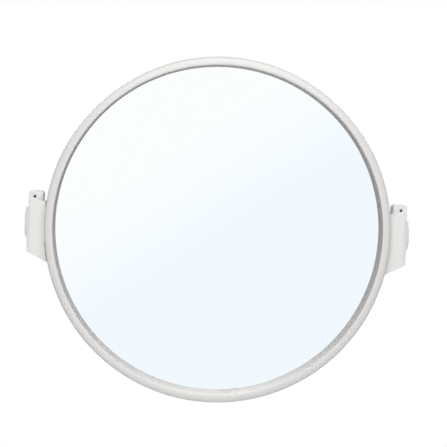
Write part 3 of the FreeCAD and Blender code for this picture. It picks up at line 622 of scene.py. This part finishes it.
def eased(node, width):
    """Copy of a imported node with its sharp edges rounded."""
    bm = merged(node)
    bmesh.ops.dissolve_limit(bm, angle_limit=FLAT_ANGLE, verts=bm.verts, edges=bm.edges)
    mesh = bpy.data.meshes.new(node + "_eased")
    bm.to_mesh(mesh)
    bm.free()
    piece = link(node + "_eased", mesh)
    bevel = piece.modifiers.new("edges", "BEVEL")
    bevel.width = width
    bevel.segments = EASED_SEGMENTS
    bevel.limit_method = "ANGLE"
    bevel.angle_limit = EDGE_ANGLE
    applied(piece)
    smooth(piece.data, EASED_SMOOTH_ANGLE)
    even = piece.modifiers.new("even normals", "WEIGHTED_NORMAL")
    even.keep_sharp = True
    even.weight = EVEN_NORMAL_WEIGHT
    applied(piece)
    mark_edges(piece.data)
    if SLOTS[node] == "bar_steel":
        mark_strip(piece.data)
    stand_in(piece, node)


def bend(centre_r, centre_depth, bend_r, start, end, steps):
    """Points of a round stretch of a profile; angles start at the front and grow outwards."""
    points = []
    for step in range(steps + 1):
        angle = start + (end - start) * step / steps
        points.append((centre_r + bend_r * math.sin(angle), centre_depth - bend_r * math.cos(angle)))
    return points


def turned_mesh(name, profile, axis, centre, around, closed=True):
    """Mesh turned about an axis through centre from pairs of radius and distance along the axis.

    A closed profile is a ring's section; an open one starts and ends on the axis.
    """
    axis = Vector(axis).normalized()
    side = axis.orthogonal().normalized()
    up = axis.cross(side)
    bm = bmesh.new()
    loops = []
    for radius, along in profile:
        middle = Vector(centre) + axis * along
        if radius < MERGE_DISTANCE:
            loops.append([bm.verts.new(middle)] * around)
            continue
        loop = []
        for step in range(around):
            turn = math.tau * step / around
            loop.append(bm.verts.new(middle + (side * math.cos(turn) + up * math.sin(turn)) * radius))
        loops.append(loop)
    pairs = list(zip(loops, loops[1:]))
    if closed:
        pairs.append((loops[-1], loops[0]))
    for first, second in pairs:
        for step in range(around):
            following = (step + 1) % around
            corners = [first[step], first[following], second[following], second[step]]
            corners = list(dict.fromkeys(corners))
            if len(corners) > 2:
                bm.faces.new(corners)
    bmesh.ops.recalc_face_normals(bm, faces=bm.faces)
    mesh = bpy.data.meshes.new(name)
    bm.to_mesh(mesh)
    bm.free()
    smooth(mesh, SMOOTH_ANGLE)
    return mesh


def joined(name, meshes):
    """One mesh made of several."""
    bm = bmesh.new()
    for mesh in meshes:
        bm.from_mesh(mesh)
    result = bpy.data.meshes.new(name)
    bm.to_mesh(result)
    bm.free()
    return result


def bezel_ring():
    """Turned ring with its rounded face, inner edge and skirt, and a pad at each pivot."""
    crest = RING_LOW.y
    rear = RING_HIGH.y
    sight_r = RING_R - RING_FACE_WIDTH
    skirt_r = RING_R - RING_WALL
    start_r = sight_r + RING_INNER_EDGE_R
    end_r = RING_R - RING_NOSE_R * (1 - math.sin(RING_CREST_SLOPE))
    crest_r = (end_r - start_r) / math.sin(RING_CREST_SLOPE)
    side = crest + crest_r * (1 - math.cos(RING_CREST_SLOPE)) + RING_NOSE_R * math.cos(RING_CREST_SLOPE)
    quarter = math.pi / 2
    corner = RING_REAR_EDGE_R
    profile = [(sight_r, GLASS_LOW.y)]
    profile += bend(start_r, crest + RING_INNER_EDGE_R, RING_INNER_EDGE_R, -quarter, 0, INNER_EDGE_STEPS)
    profile += bend(start_r, crest + crest_r, crest_r, 0, RING_CREST_SLOPE, CREST_STEPS)[1:]
    nose = bend(RING_R - RING_NOSE_R, side, RING_NOSE_R, RING_CREST_SLOPE, quarter, NOSE_STEPS)
    profile += nose[1:]
    profile += bend(RING_R - corner, rear - corner, corner, quarter, math.pi, REAR_EDGE_STEPS)
    profile += [(skirt_r, rear), (skirt_r, GLASS_LOW.y)]
    ring = turned_mesh("ring", profile, (0, 1, 0), (0, 0, TILT_AXIS.z), RING_SEGMENTS)
    root = RING_R - RING_WALL / 2
    reach = RING_HIGH.x
    pad = [(0, root), (PIVOT_PAD_R, root), (PIVOT_PAD_R, reach), (0, reach)]
    meshes = [ring]
    for sign in (-1, 1):
        meshes.append(turned_mesh("pad", pad, (sign, 0, 0), TILT_AXIS, CAP_SEGMENTS, closed=False))
    piece = link("bezel_ring_turned", joined("bezel_ring_turned", meshes))
    stand_in(piece, "bezel_ring")


def rear_cover():
    """Turned cover: a skirt, a rounded rim, and a shallow dome with one fine groove."""
    radius = (COVER_HIGH.z - COVER_LOW.z) / 2
    crown = COVER_HIGH.y
    rim = crown - COVER_DOME_RISE
    ball_r = (radius ** 2 + COVER_DOME_RISE ** 2) / (2 * COVER_DOME_RISE)
    centre = crown - ball_r

    def dome_at(r, sink=0.0):
        return r, centre + math.sqrt((ball_r - sink) ** 2 - r ** 2)

    profile = [(0.0, crown)]
    groove = (COVER_GROOVE_R - COVER_GROOVE_HALF, COVER_GROOVE_R + COVER_GROOVE_HALF)
    for step in range(1, DOME_STEPS):
        profile.append(dome_at(groove[0] * step / DOME_STEPS))
    profile += [dome_at(groove[0]), dome_at(groove[0] + COVER_GROOVE_HALF / 2, COVER_GROOVE_DEPTH)]
    profile += [dome_at(groove[1] - COVER_GROOVE_HALF / 2, COVER_GROOVE_DEPTH), dome_at(groove[1])]
    rim_start = radius - COVER_EDGE_R
    for step in range(1, RIM_STEPS + 1):
        profile.append(dome_at(groove[1] + (rim_start - groove[1]) * step / RIM_STEPS))
    profile += [(radius, rim - COVER_EDGE_R), (radius, COVER_LOW.y), (0.0, COVER_LOW.y)]
    mesh = turned_mesh(
        "rear_cover_turned", profile, (0, 1, 0), (0, 0, TILT_AXIS.z), RING_SEGMENTS, closed=False)
    stand_in(link("rear_cover_turned", mesh), "rear_cover")


def pivot_cap(side):
    """Turned cap with a softly domed face."""
    node = "pivot_cap_" + side
    low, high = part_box(node)
    sign = 1 if side == "right" else -1
    radius = (high.z - low.z) / 2
    outer = max(abs(low.x), abs(high.x))
    seat = outer - CAP_PROUD
    edge = outer - CAP_DOME_RISE - CAP_EDGE_R
    profile = [(0.0, outer)]
    flat_r = radius - CAP_EDGE_R
    for step in range(1, CAP_FACE_STEPS + 1):
        r = flat_r * step / CAP_FACE_STEPS
        profile.append((r, outer - CAP_DOME_RISE * (r / flat_r) ** 2))
    for step in range(1, CAP_EDGE_STEPS + 1):
        angle = math.pi / 2 * step / CAP_EDGE_STEPS
        profile.append((flat_r + CAP_EDGE_R * math.sin(angle), edge + CAP_EDGE_R * math.cos(angle)))
    profile += [(radius, seat), (0.0, seat)]
    mesh = turned_mesh(node + "_turned", profile, (sign, 0, 0), TILT_AXIS, CAP_SEGMENTS, closed=False)
    stand_in(link(node + "_turned", mesh), node)


EASED = {
    "wall_plate": MOULDED_EDGE,
    "rear_post": MOULDED_EDGE,
    "front_post": MOULDED_EDGE,
    "yoke_bow": MOULDED_EDGE,
    "side_bracket_left": BRACKET_EDGE,
    "side_bracket_right": BRACKET_EDGE,
    "wall_pin": PIN_EDGE,
    "yoke_pin": PIN_EDGE,
}
for cell in (1, 2, 3):
    EASED[f"falling_bar_{cell}"] = STAMPED_EDGE
    EASED[f"rising_bar_{cell}"] = STAMPED_EDGE


# ---- small parts that repeat -----------------------------------------------------------------


def new_geometry_tree(name, inputs):
    """Geometry tree with named inputs; returns it, their identifiers, its graph and both ends."""
    tree = bpy.data.node_groups.new(name, "GeometryNodeTree")
    tree.interface.new_socket("Geometry", in_out="INPUT", socket_type="NodeSocketGeometry")
    identifiers = {}
    for label, kind in inputs:
        identifiers[label] = tree.interface.new_socket(label, in_out="INPUT", socket_type=kind).identifier
    tree.interface.new_socket("Geometry", in_out="OUTPUT", socket_type="NodeSocketGeometry")
    graph = Graph(tree)
    return tree, identifiers, graph, graph.add("NodeGroupInput"), graph.add("NodeGroupOutput")


def lathe(graph, height, radius, scale, segments, rings):
    """Closed solid turned about Z whose radius changes from its foot to its crown by scale."""
    spine = graph.add("GeometryNodeCurvePrimitiveLine")
    graph.join(vector_of(graph, Z=height), spine.inputs["End"])
    fine = graph.add("GeometryNodeResampleCurve")
    graph.join(spine.outputs["Curve"], fine.inputs["Curve"])
    graph.join(rings, fine.inputs["Count"])
    section = graph.add("GeometryNodeCurvePrimitiveCircle")
    graph.join(segments, section.inputs["Resolution"])
    graph.join(radius, section.inputs["Radius"])
    solid = graph.add("GeometryNodeCurveToMesh")
    graph.join(fine.outputs["Curve"], solid.inputs["Curve"])
    graph.join(section.outputs["Curve"], solid.inputs["Profile Curve"])
    graph.join(scale, solid.inputs["Scale"])
    solid.inputs["Fill Caps"].default_value = True
    return solid.outputs["Mesh"]


def dome_scale(graph, fullness):
    """Share of the full radius at each height of a domed head."""
    height = graph.add("GeometryNodeSplineParameter").outputs["Factor"]
    fall = math_of(graph, "POWER", math_of(graph, "MULTIPLY", height, DOME_REACH), fullness)
    return math_of(graph, "SQRT", math_of(graph, "SUBTRACT", 1.0, fall))


def along_axes(graph, start):
    """Curves along the input's edges, with their outward directions and where a head is wanted."""
    axes = graph.add("GeometryNodeMeshToCurve")
    graph.join(start.outputs["Geometry"], axes.inputs["Mesh"])
    along = graph.add("GeometryNodeSplineParameter").outputs["Factor"]
    ends = math_of(graph, "MULTIPLY_ADD", along, 2.0, -1.0)
    outward = graph.add("ShaderNodeVectorMath", operation="SCALE")
    graph.join(graph.add("GeometryNodeInputTangent").outputs["Tangent"], outward.inputs[0])
    graph.join(ends, outward.inputs["Scale"])
    turned = graph.add("FunctionNodeAlignRotationToVector", axis="Z")
    graph.join(outward.outputs[0], turned.inputs["Vector"])
    head = graph.add("GeometryNodeInputNamedAttribute", data_type="FLOAT")
    head.inputs["Name"].default_value = HEAD_MARK
    wanted = math_of(graph, "GREATER_THAN", head.outputs["Attribute"], 0.5)
    return axes.outputs["Curve"], turned.outputs["Rotation"], wanted


def set_heads(graph, axes, wanted, head, rotation):
    """The head at each wanted end, turned outwards."""
    heads = graph.add("GeometryNodeInstanceOnPoints")
    graph.join(axes, heads.inputs["Points"])
    graph.join(wanted, heads.inputs["Selection"])
    graph.join(head, heads.inputs["Instance"])
    graph.join(rotation, heads.inputs["Rotation"])
    return heads.outputs["Instances"]


def finish_tree(graph, start, end, *parts):
    """Join the parts, make the instances real and give them their finish."""
    join = graph.add("GeometryNodeJoinGeometry")
    for part in parts:
        graph.join(part, join.inputs["Geometry"])
    real = graph.add("GeometryNodeRealizeInstances")
    graph.join(join.outputs["Geometry"], real.inputs["Geometry"])
    dressed = graph.add("GeometryNodeSetMaterial")
    graph.join(real.outputs["Geometry"], dressed.inputs["Geometry"])
    graph.join(start.outputs["Finish"], dressed.inputs["Material"])
    graph.join(dressed.outputs["Geometry"], end.inputs["Geometry"])


def rivet_tree():
    """Rivets along the input's edges, domed at the points that are marked for a head."""
    tree, identifiers, graph, start, end = new_geometry_tree("rivets", [
        ("Shank radius", "NodeSocketFloat"),
        ("Head radius", "NodeSocketFloat"),
        ("Head height", "NodeSocketFloat"),
        ("Segments", "NodeSocketInt"),
        ("Rings", "NodeSocketInt"),
        ("Finish", "NodeSocketMaterial"),
    ])
    axes, rotation, wanted = along_axes(graph, start)
    section = graph.add("GeometryNodeCurvePrimitiveCircle")
    graph.join(start.outputs["Segments"], section.inputs["Resolution"])
    graph.join(start.outputs["Shank radius"], section.inputs["Radius"])
    shank = graph.add("GeometryNodeCurveToMesh")
    graph.join(axes, shank.inputs["Curve"])
    graph.join(section.outputs["Curve"], shank.inputs["Profile Curve"])
    shank.inputs["Fill Caps"].default_value = True
    head = lathe(
        graph, start.outputs["Head height"], start.outputs["Head radius"], dome_scale(graph, RIVET_FULLNESS),
        start.outputs["Segments"], start.outputs["Rings"])
    finish_tree(graph, start, end, shank.outputs["Mesh"], set_heads(graph, axes, wanted, head, rotation))
    return tree, identifiers


def screw_tree():
    """Threaded screws along the input's edges, each with a pan head and a cross recess."""
    tree, identifiers, graph, start, end = new_geometry_tree("cross recess screws", [
        ("Shank radius", "NodeSocketFloat"),
        ("Thread depth", "NodeSocketFloat"),
        ("Turns", "NodeSocketInt"),
        ("Head radius", "NodeSocketFloat"),
        ("Head height", "NodeSocketFloat"),
        ("Recess length", "NodeSocketFloat"),
        ("Recess width", "NodeSocketFloat"),
        ("Recess depth", "NodeSocketFloat"),
        ("Segments", "NodeSocketInt"),
        ("Rings", "NodeSocketInt"),
        ("Finish", "NodeSocketMaterial"),
    ])
    axes, rotation, wanted = along_axes(graph, start)
    fine = graph.add("GeometryNodeResampleCurve")
    graph.join(axes, fine.inputs["Curve"])
    count = math_of(graph, "MULTIPLY_ADD", start.outputs["Turns"], STEPS_EACH_TURN, 1.0)
    graph.join(count, fine.inputs["Count"])
    factor = graph.add("GeometryNodeSplineParameter").outputs["Factor"]
    crest = math_of(graph, "PINGPONG", math_of(graph, "MULTIPLY", factor, start.outputs["Turns"]), 0.5)
    groove = math_of(graph, "MULTIPLY", crest, start.outputs["Thread depth"])
    section = graph.add("GeometryNodeCurvePrimitiveCircle")
    graph.join(start.outputs["Segments"], section.inputs["Resolution"])
    graph.join(start.outputs["Shank radius"], section.inputs["Radius"])
    shank = graph.add("GeometryNodeCurveToMesh")
    graph.join(fine.outputs["Curve"], shank.inputs["Curve"])
    graph.join(section.outputs["Curve"], shank.inputs["Profile Curve"])
    graph.join(math_of(graph, "SUBTRACT", 1.0, groove), shank.inputs["Scale"])
    shank.inputs["Fill Caps"].default_value = True
    head = lathe(
        graph, start.outputs["Head height"], start.outputs["Head radius"], dome_scale(graph, SCREW_FULLNESS),
        start.outputs["Segments"], start.outputs["Rings"])
    for long, short in (("X", "Y"), ("Y", "X")):
        slot = graph.add("GeometryNodeMeshCube")
        depth = math_of(graph, "MULTIPLY", start.outputs["Recess depth"], 2.0)
        sizes = {long: start.outputs["Recess length"], short: start.outputs["Recess width"], "Z": depth}
        graph.join(vector_of(graph, **sizes), slot.inputs["Size"])
        raised = graph.add("GeometryNodeTransform")
        graph.join(slot.outputs["Mesh"], raised.inputs["Geometry"])
        graph.join(vector_of(graph, Z=start.outputs["Head height"]), raised.inputs["Translation"])
        carve = graph.add("GeometryNodeMeshBoolean", operation="DIFFERENCE")
        graph.join(head, carve.inputs["Mesh 1"])
        graph.join(raised.outputs["Geometry"], carve.inputs["Mesh 2"])
        head = carve.outputs["Mesh"]
    finish_tree(graph, start, end, shank.outputs["Mesh"], set_heads(graph, axes, wanted, head, rotation))
    return tree, identifiers


def push_ring_tree():
    """Flat rings at the input's points, with sprung teeth that grip the pin."""
    tree, identifiers, graph, start, end = new_geometry_tree("push-on rings", [
        ("Radius", "NodeSocketFloat"),
        ("Rim width", "NodeSocketFloat"),
        ("Thickness", "NodeSocketFloat"),
        ("Pin radius", "NodeSocketFloat"),
        ("Teeth", "NodeSocketInt"),
        ("Tooth width", "NodeSocketFloat"),
        ("Tooth tilt", "NodeSocketFloat"),
        ("Segments", "NodeSocketInt"),
        ("Finish", "NodeSocketMaterial"),
    ])
    rim_r = math_of(graph, "MULTIPLY_ADD", start.outputs["Rim width"], -0.5, start.outputs["Radius"])
    path = graph.add("GeometryNodeCurvePrimitiveCircle")
    graph.join(start.outputs["Segments"], path.inputs["Resolution"])
    graph.join(rim_r, path.inputs["Radius"])
    section = graph.add("GeometryNodeCurvePrimitiveQuadrilateral")
    graph.join(start.outputs["Rim width"], section.inputs["Width"])
    graph.join(start.outputs["Thickness"], section.inputs["Height"])
    rim = graph.add("GeometryNodeCurveToMesh")
    graph.join(path.outputs["Curve"], rim.inputs["Curve"])
    graph.join(section.outputs["Curve"], rim.inputs["Profile Curve"])
    reach = math_of(graph, "SUBTRACT", rim_r, start.outputs["Pin radius"])
    tooth = graph.add("GeometryNodeMeshCube")
    thin = math_of(graph, "MULTIPLY", start.outputs["Thickness"], TOOTH_THIN)
    graph.join(vector_of(graph, X=reach, Y=start.outputs["Tooth width"], Z=thin), tooth.inputs["Size"])
    tilted = graph.add("GeometryNodeTransform")
    graph.join(tooth.outputs["Mesh"], tilted.inputs["Geometry"])
    middle = math_of(graph, "MULTIPLY_ADD", reach, 0.5, start.outputs["Pin radius"])
    graph.join(vector_of(graph, X=middle), tilted.inputs["Translation"])
    graph.join(vector_of(graph, Y=start.outputs["Tooth tilt"]), tilted.inputs["Rotation"])
    spokes = graph.add("GeometryNodeMeshLine")
    graph.join(start.outputs["Teeth"], spokes.inputs["Count"])
    spokes.inputs["Offset"].default_value = (0.0, 0.0, 0.0)
    index = graph.add("GeometryNodeInputIndex").outputs["Index"]
    turn = math_of(graph, "DIVIDE", math_of(graph, "MULTIPLY", index, math.tau), start.outputs["Teeth"])
    teeth = graph.add("GeometryNodeInstanceOnPoints")
    graph.join(spokes.outputs["Mesh"], teeth.inputs["Points"])
    graph.join(tilted.outputs["Geometry"], teeth.inputs["Instance"])
    graph.join(vector_of(graph, Z=turn), teeth.inputs["Rotation"])
    whole = graph.add("GeometryNodeJoinGeometry")
    graph.join(rim.outputs["Mesh"], whole.inputs["Geometry"])
    graph.join(teeth.outputs["Instances"], whole.inputs["Geometry"])
    placed = graph.add("GeometryNodeInstanceOnPoints")
    graph.join(start.outputs["Geometry"], placed.inputs["Points"])
    graph.join(whole.outputs["Geometry"], placed.inputs["Instance"])
    finish_tree(graph, start, end, placed.outputs["Instances"])
    return tree, identifiers


def grown(node, tree_and_inputs, mesh, sizes):
    """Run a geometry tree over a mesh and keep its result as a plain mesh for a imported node."""
    tree, identifiers = tree_and_inputs
    piece = link(node + "_made", mesh)
    modifier = piece.modifiers.new("make", "NODES")
    modifier.node_group = tree
    for label, value in sizes.items():
        modifier[identifiers[label]] = value
    modifier[identifiers["Finish"]] = MATERIALS[SLOTS[node]]
    applied(piece)
    if HEAD_MARK in piece.data.attributes:
        piece.data.attributes.remove(piece.data.attributes[HEAD_MARK])
    smooth(piece.data, SMOOTH_ANGLE)
    stand_in(piece, node)


def axis_mesh(name, axes):
    """Edges from start to end, each end marked where it takes a head."""
    points = [point for start, end, marks in axes for point in (start, end)]
    edges = [(2 * number, 2 * number + 1) for number in range(len(axes))]
    marks = [float(mark) for start, end, both in axes for mark in both]
    mesh = bpy.data.meshes.new(name)
    mesh.from_pydata(points, edges, [])
    mesh.attributes.new(HEAD_MARK, "FLOAT", "POINT").data.foreach_set("value", marks)
    return mesh


RIVET_NODES = ["rear_post_rivet"]
RIVET_NODES += [f"{way}_rivets_{cell}" for way in ("falling", "rising") for cell in (1, 2, 3)]


def rivets():
    """A rivet in place of each packed one; an end flush with its post has no head."""
    boxes = {node: solids(node) for node in RIVET_NODES}
    reach = max(high.x for node in RIVET_NODES for low, high in boxes[node])
    head_r = max((high.z - low.z) / 2 for node in RIVET_NODES for low, high in boxes[node])
    tree = rivet_tree()
    for node in RIVET_NODES:
        axes = []
        for low, high in boxes[node]:
            middle = (low + high) / 2
            headed = (low.x < -reach + RIVET_HEAD_HEIGHT, high.x > reach - RIVET_HEAD_HEIGHT)
            left = low.x + RIVET_HEAD_HEIGHT * headed[0]
            right = high.x - RIVET_HEAD_HEIGHT * headed[1]
            axes.append(((left, middle.y, middle.z), (right, middle.y, middle.z), headed))
        grown(node, tree, axis_mesh(node + "_axes", axes), {
            "Shank radius": RIVET_SHANK_R,
            "Head radius": head_r,
            "Head height": RIVET_HEAD_HEIGHT,
            "Segments": HEAD_SEGMENTS,
            "Rings": HEAD_RINGS,
        })


def bracket_screws():
    """Cross recess screws, driven from behind."""
    boxes = solids("bracket_screws")
    head_r = max((high.z - low.z) / 2 for low, high in boxes)
    axes = []
    for low, high in boxes:
        middle = (low + high) / 2
        seat = high.y - SCREW_HEAD_HEIGHT
        axes.append(((middle.x, low.y, middle.z), (middle.x, seat, middle.z), (False, True)))
    grown("bracket_screws", screw_tree(), axis_mesh("screw_axes", axes), {
        "Shank radius": SCREW_SHANK_R,
        "Thread depth": SCREW_THREAD_DEPTH,
        "Turns": SCREW_TURNS,
        "Head radius": head_r,
        "Head height": SCREW_HEAD_HEIGHT,
        "Recess length": RECESS_LENGTH,
        "Recess width": RECESS_WIDTH,
        "Recess depth": RECESS_DEPTH,
        "Segments": HEAD_SEGMENTS,
        "Rings": HEAD_RINGS,
    })


def push_on_rings():
    """Push-on ring at the tail of each hinge pin."""
    tree = push_ring_tree()
    for node in ("wall_pin_clip", "yoke_pin_clip"):
        low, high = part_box(node)
        mesh = bpy.data.meshes.new(node + "_place")
        mesh.from_pydata([(low + high) / 2], [], [])
        grown(node, tree, mesh, {
            "Radius": (high.x - low.x) / 2,
            "Rim width": PUSH_RIM_WIDTH,
            "Thickness": high.z - low.z,
            "Pin radius": PIN_R,
            "Teeth": RING_TEETH,
            "Tooth width": TOOTH_WIDTH,
            "Tooth tilt": TOOTH_TILT,
            "Segments": HEAD_SEGMENTS,
        })


def build_pieces():
    """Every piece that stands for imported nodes."""
    bezel_ring()
    rear_cover()
    for side in ("left", "right"):
        pivot_cap(side)
    for node, width in EASED.items():
        eased(node, width)
    rivets()
    bracket_screws()
    push_on_rings()


# ---- studio ----------------------------------------------------------------------------------


def world():
    """White backdrop for the camera, a pale room for the mirror and a soft light for the rest."""
    studio = bpy.data.worlds.new("studio")
    bpy.context.scene.world = studio
    studio.use_nodes = True
    studio.node_tree.nodes.clear()
    shader = Graph(studio.node_tree)
    output = shader.add("ShaderNodeOutputWorld")
    direction = shader.add("ShaderNodeTexCoord").outputs["Generated"]

    def towards(vector):
        dot = shader.add("ShaderNodeVectorMath", operation="DOT_PRODUCT")
        dot.inputs[1].default_value = vector
        shader.join(direction, dot.inputs[0])
        return dot.outputs["Value"]

    fade = remap(shader, towards(ROOM_SLANT), *ROOM_BAND, 0.0, 1.0, soft=True)
    room = mix_of(shader, "RGBA", fade, ROOM_ABOVE, ROOM_BELOW)
    ahead = remap(shader, towards((0.0, -1.0, 0.0)), *ROOM_EDGE, 0.0, 1.0, soft=True)
    aloft = remap(shader, towards((0.0, 0.0, 1.0)), *SIDE_RISE, *SIDE_GREYS, soft=True)
    around = shader.add("ShaderNodeCombineColor")
    for channel in ("Red", "Green", "Blue"):
        shader.join(aloft, around.inputs[channel])
    reflected = background(shader, mix_of(shader, "RGBA", ahead, around.outputs["Color"], room))

    path = shader.add("ShaderNodeLightPath")
    early = math_of(shader, "LESS_THAN", path.outputs["Ray Depth"], FIRST_REFLECTION)
    in_gloss = math_of(shader, "MULTIPLY", path.outputs["Is Glossy Ray"], early)
    indirect = blended(shader, in_gloss, background(shader, SOFT_COLOUR, SOFT_STRENGTH), reflected)
    direct = math_of(shader, "MAXIMUM", path.outputs["Is Camera Ray"], path.outputs["Is Transmission Ray"])
    shader.join(blended(shader, direct, indirect, background(shader, WHITE)), output.inputs["Surface"])


def floor():
    """Round pale floor well below the mirror."""
    centre = Vector((0.0, RING_LOW.y * FLOOR_FORWARD, RING_LOW.z - FLOOR_DROP))
    corners = []
    for step in range(FLOOR_SEGMENTS):
        turn = math.tau * step / FLOOR_SEGMENTS
        corners.append(centre + Vector((math.cos(turn), math.sin(turn), 0.0)) * FLOOR_R)
    mesh = bpy.data.meshes.new("studio_floor")
    mesh.from_pydata(corners, [], [tuple(range(FLOOR_SEGMENTS))])
    material, _, surface, _ = new_material("studio floor")
    surface.inputs["Base Color"].default_value = FLOOR_COLOUR
    surface.inputs["Roughness"].default_value = FLOOR_ROUGHNESS
    mesh.materials.append(material)
    link("studio_floor", mesh)


def seen_from(azimuth, elevation):
    """Direction from the mirror to a place round it; azimuth grows to the right, 0 is straight ahead."""
    level = math.cos(elevation)
    return Vector((math.sin(azimuth) * level, -math.cos(azimuth) * level, math.sin(elevation)))


def area_light(name, distance, azimuth, elevation, size, power, in_gloss):
    """Area lamp that faces the mirror."""
    data = bpy.data.lights.new(name, "AREA")
    data.shape = "RECTANGLE"
    data.size, data.size_y = size
    data.energy = power
    lamp = link(name, data)
    away = seen_from(math.radians(azimuth), math.radians(elevation)) * distance
    lamp.location = RING_CENTRE + away
    lamp.rotation_euler = (-away).to_track_quat("-Z", "Y").to_euler()
    lamp.visible_glossy = in_gloss


def camera():
    """Camera that looks at the mirror's face, shifted so that the whole part is in the picture."""
    data = bpy.data.cameras.new("camera")
    data.sensor_width = SENSOR
    data.lens = SENSOR * CAMERA_DISTANCE / FIELD_WIDTH
    data.shift_x, data.shift_y = FRAME_OFFSET
    viewer = link("camera", data)
    away = seen_from(CAMERA_AZIMUTH, CAMERA_ELEVATION)
    viewer.location = RING_CENTRE + away * CAMERA_DISTANCE
    look = (-away).to_track_quat("-Z", "Y").to_matrix().to_4x4()
    viewer.rotation_euler = (look @ Matrix.Rotation(CAMERA_ROLL, 4, "Z")).to_euler()
    bpy.context.scene.camera = viewer


scene = bpy.context.scene
scene.view_settings.view_transform = "Standard"
dress_cad_nodes()
build_pieces()
world()
floor()
for lamp in LAMPS:
    area_light(*lamp)
camera()
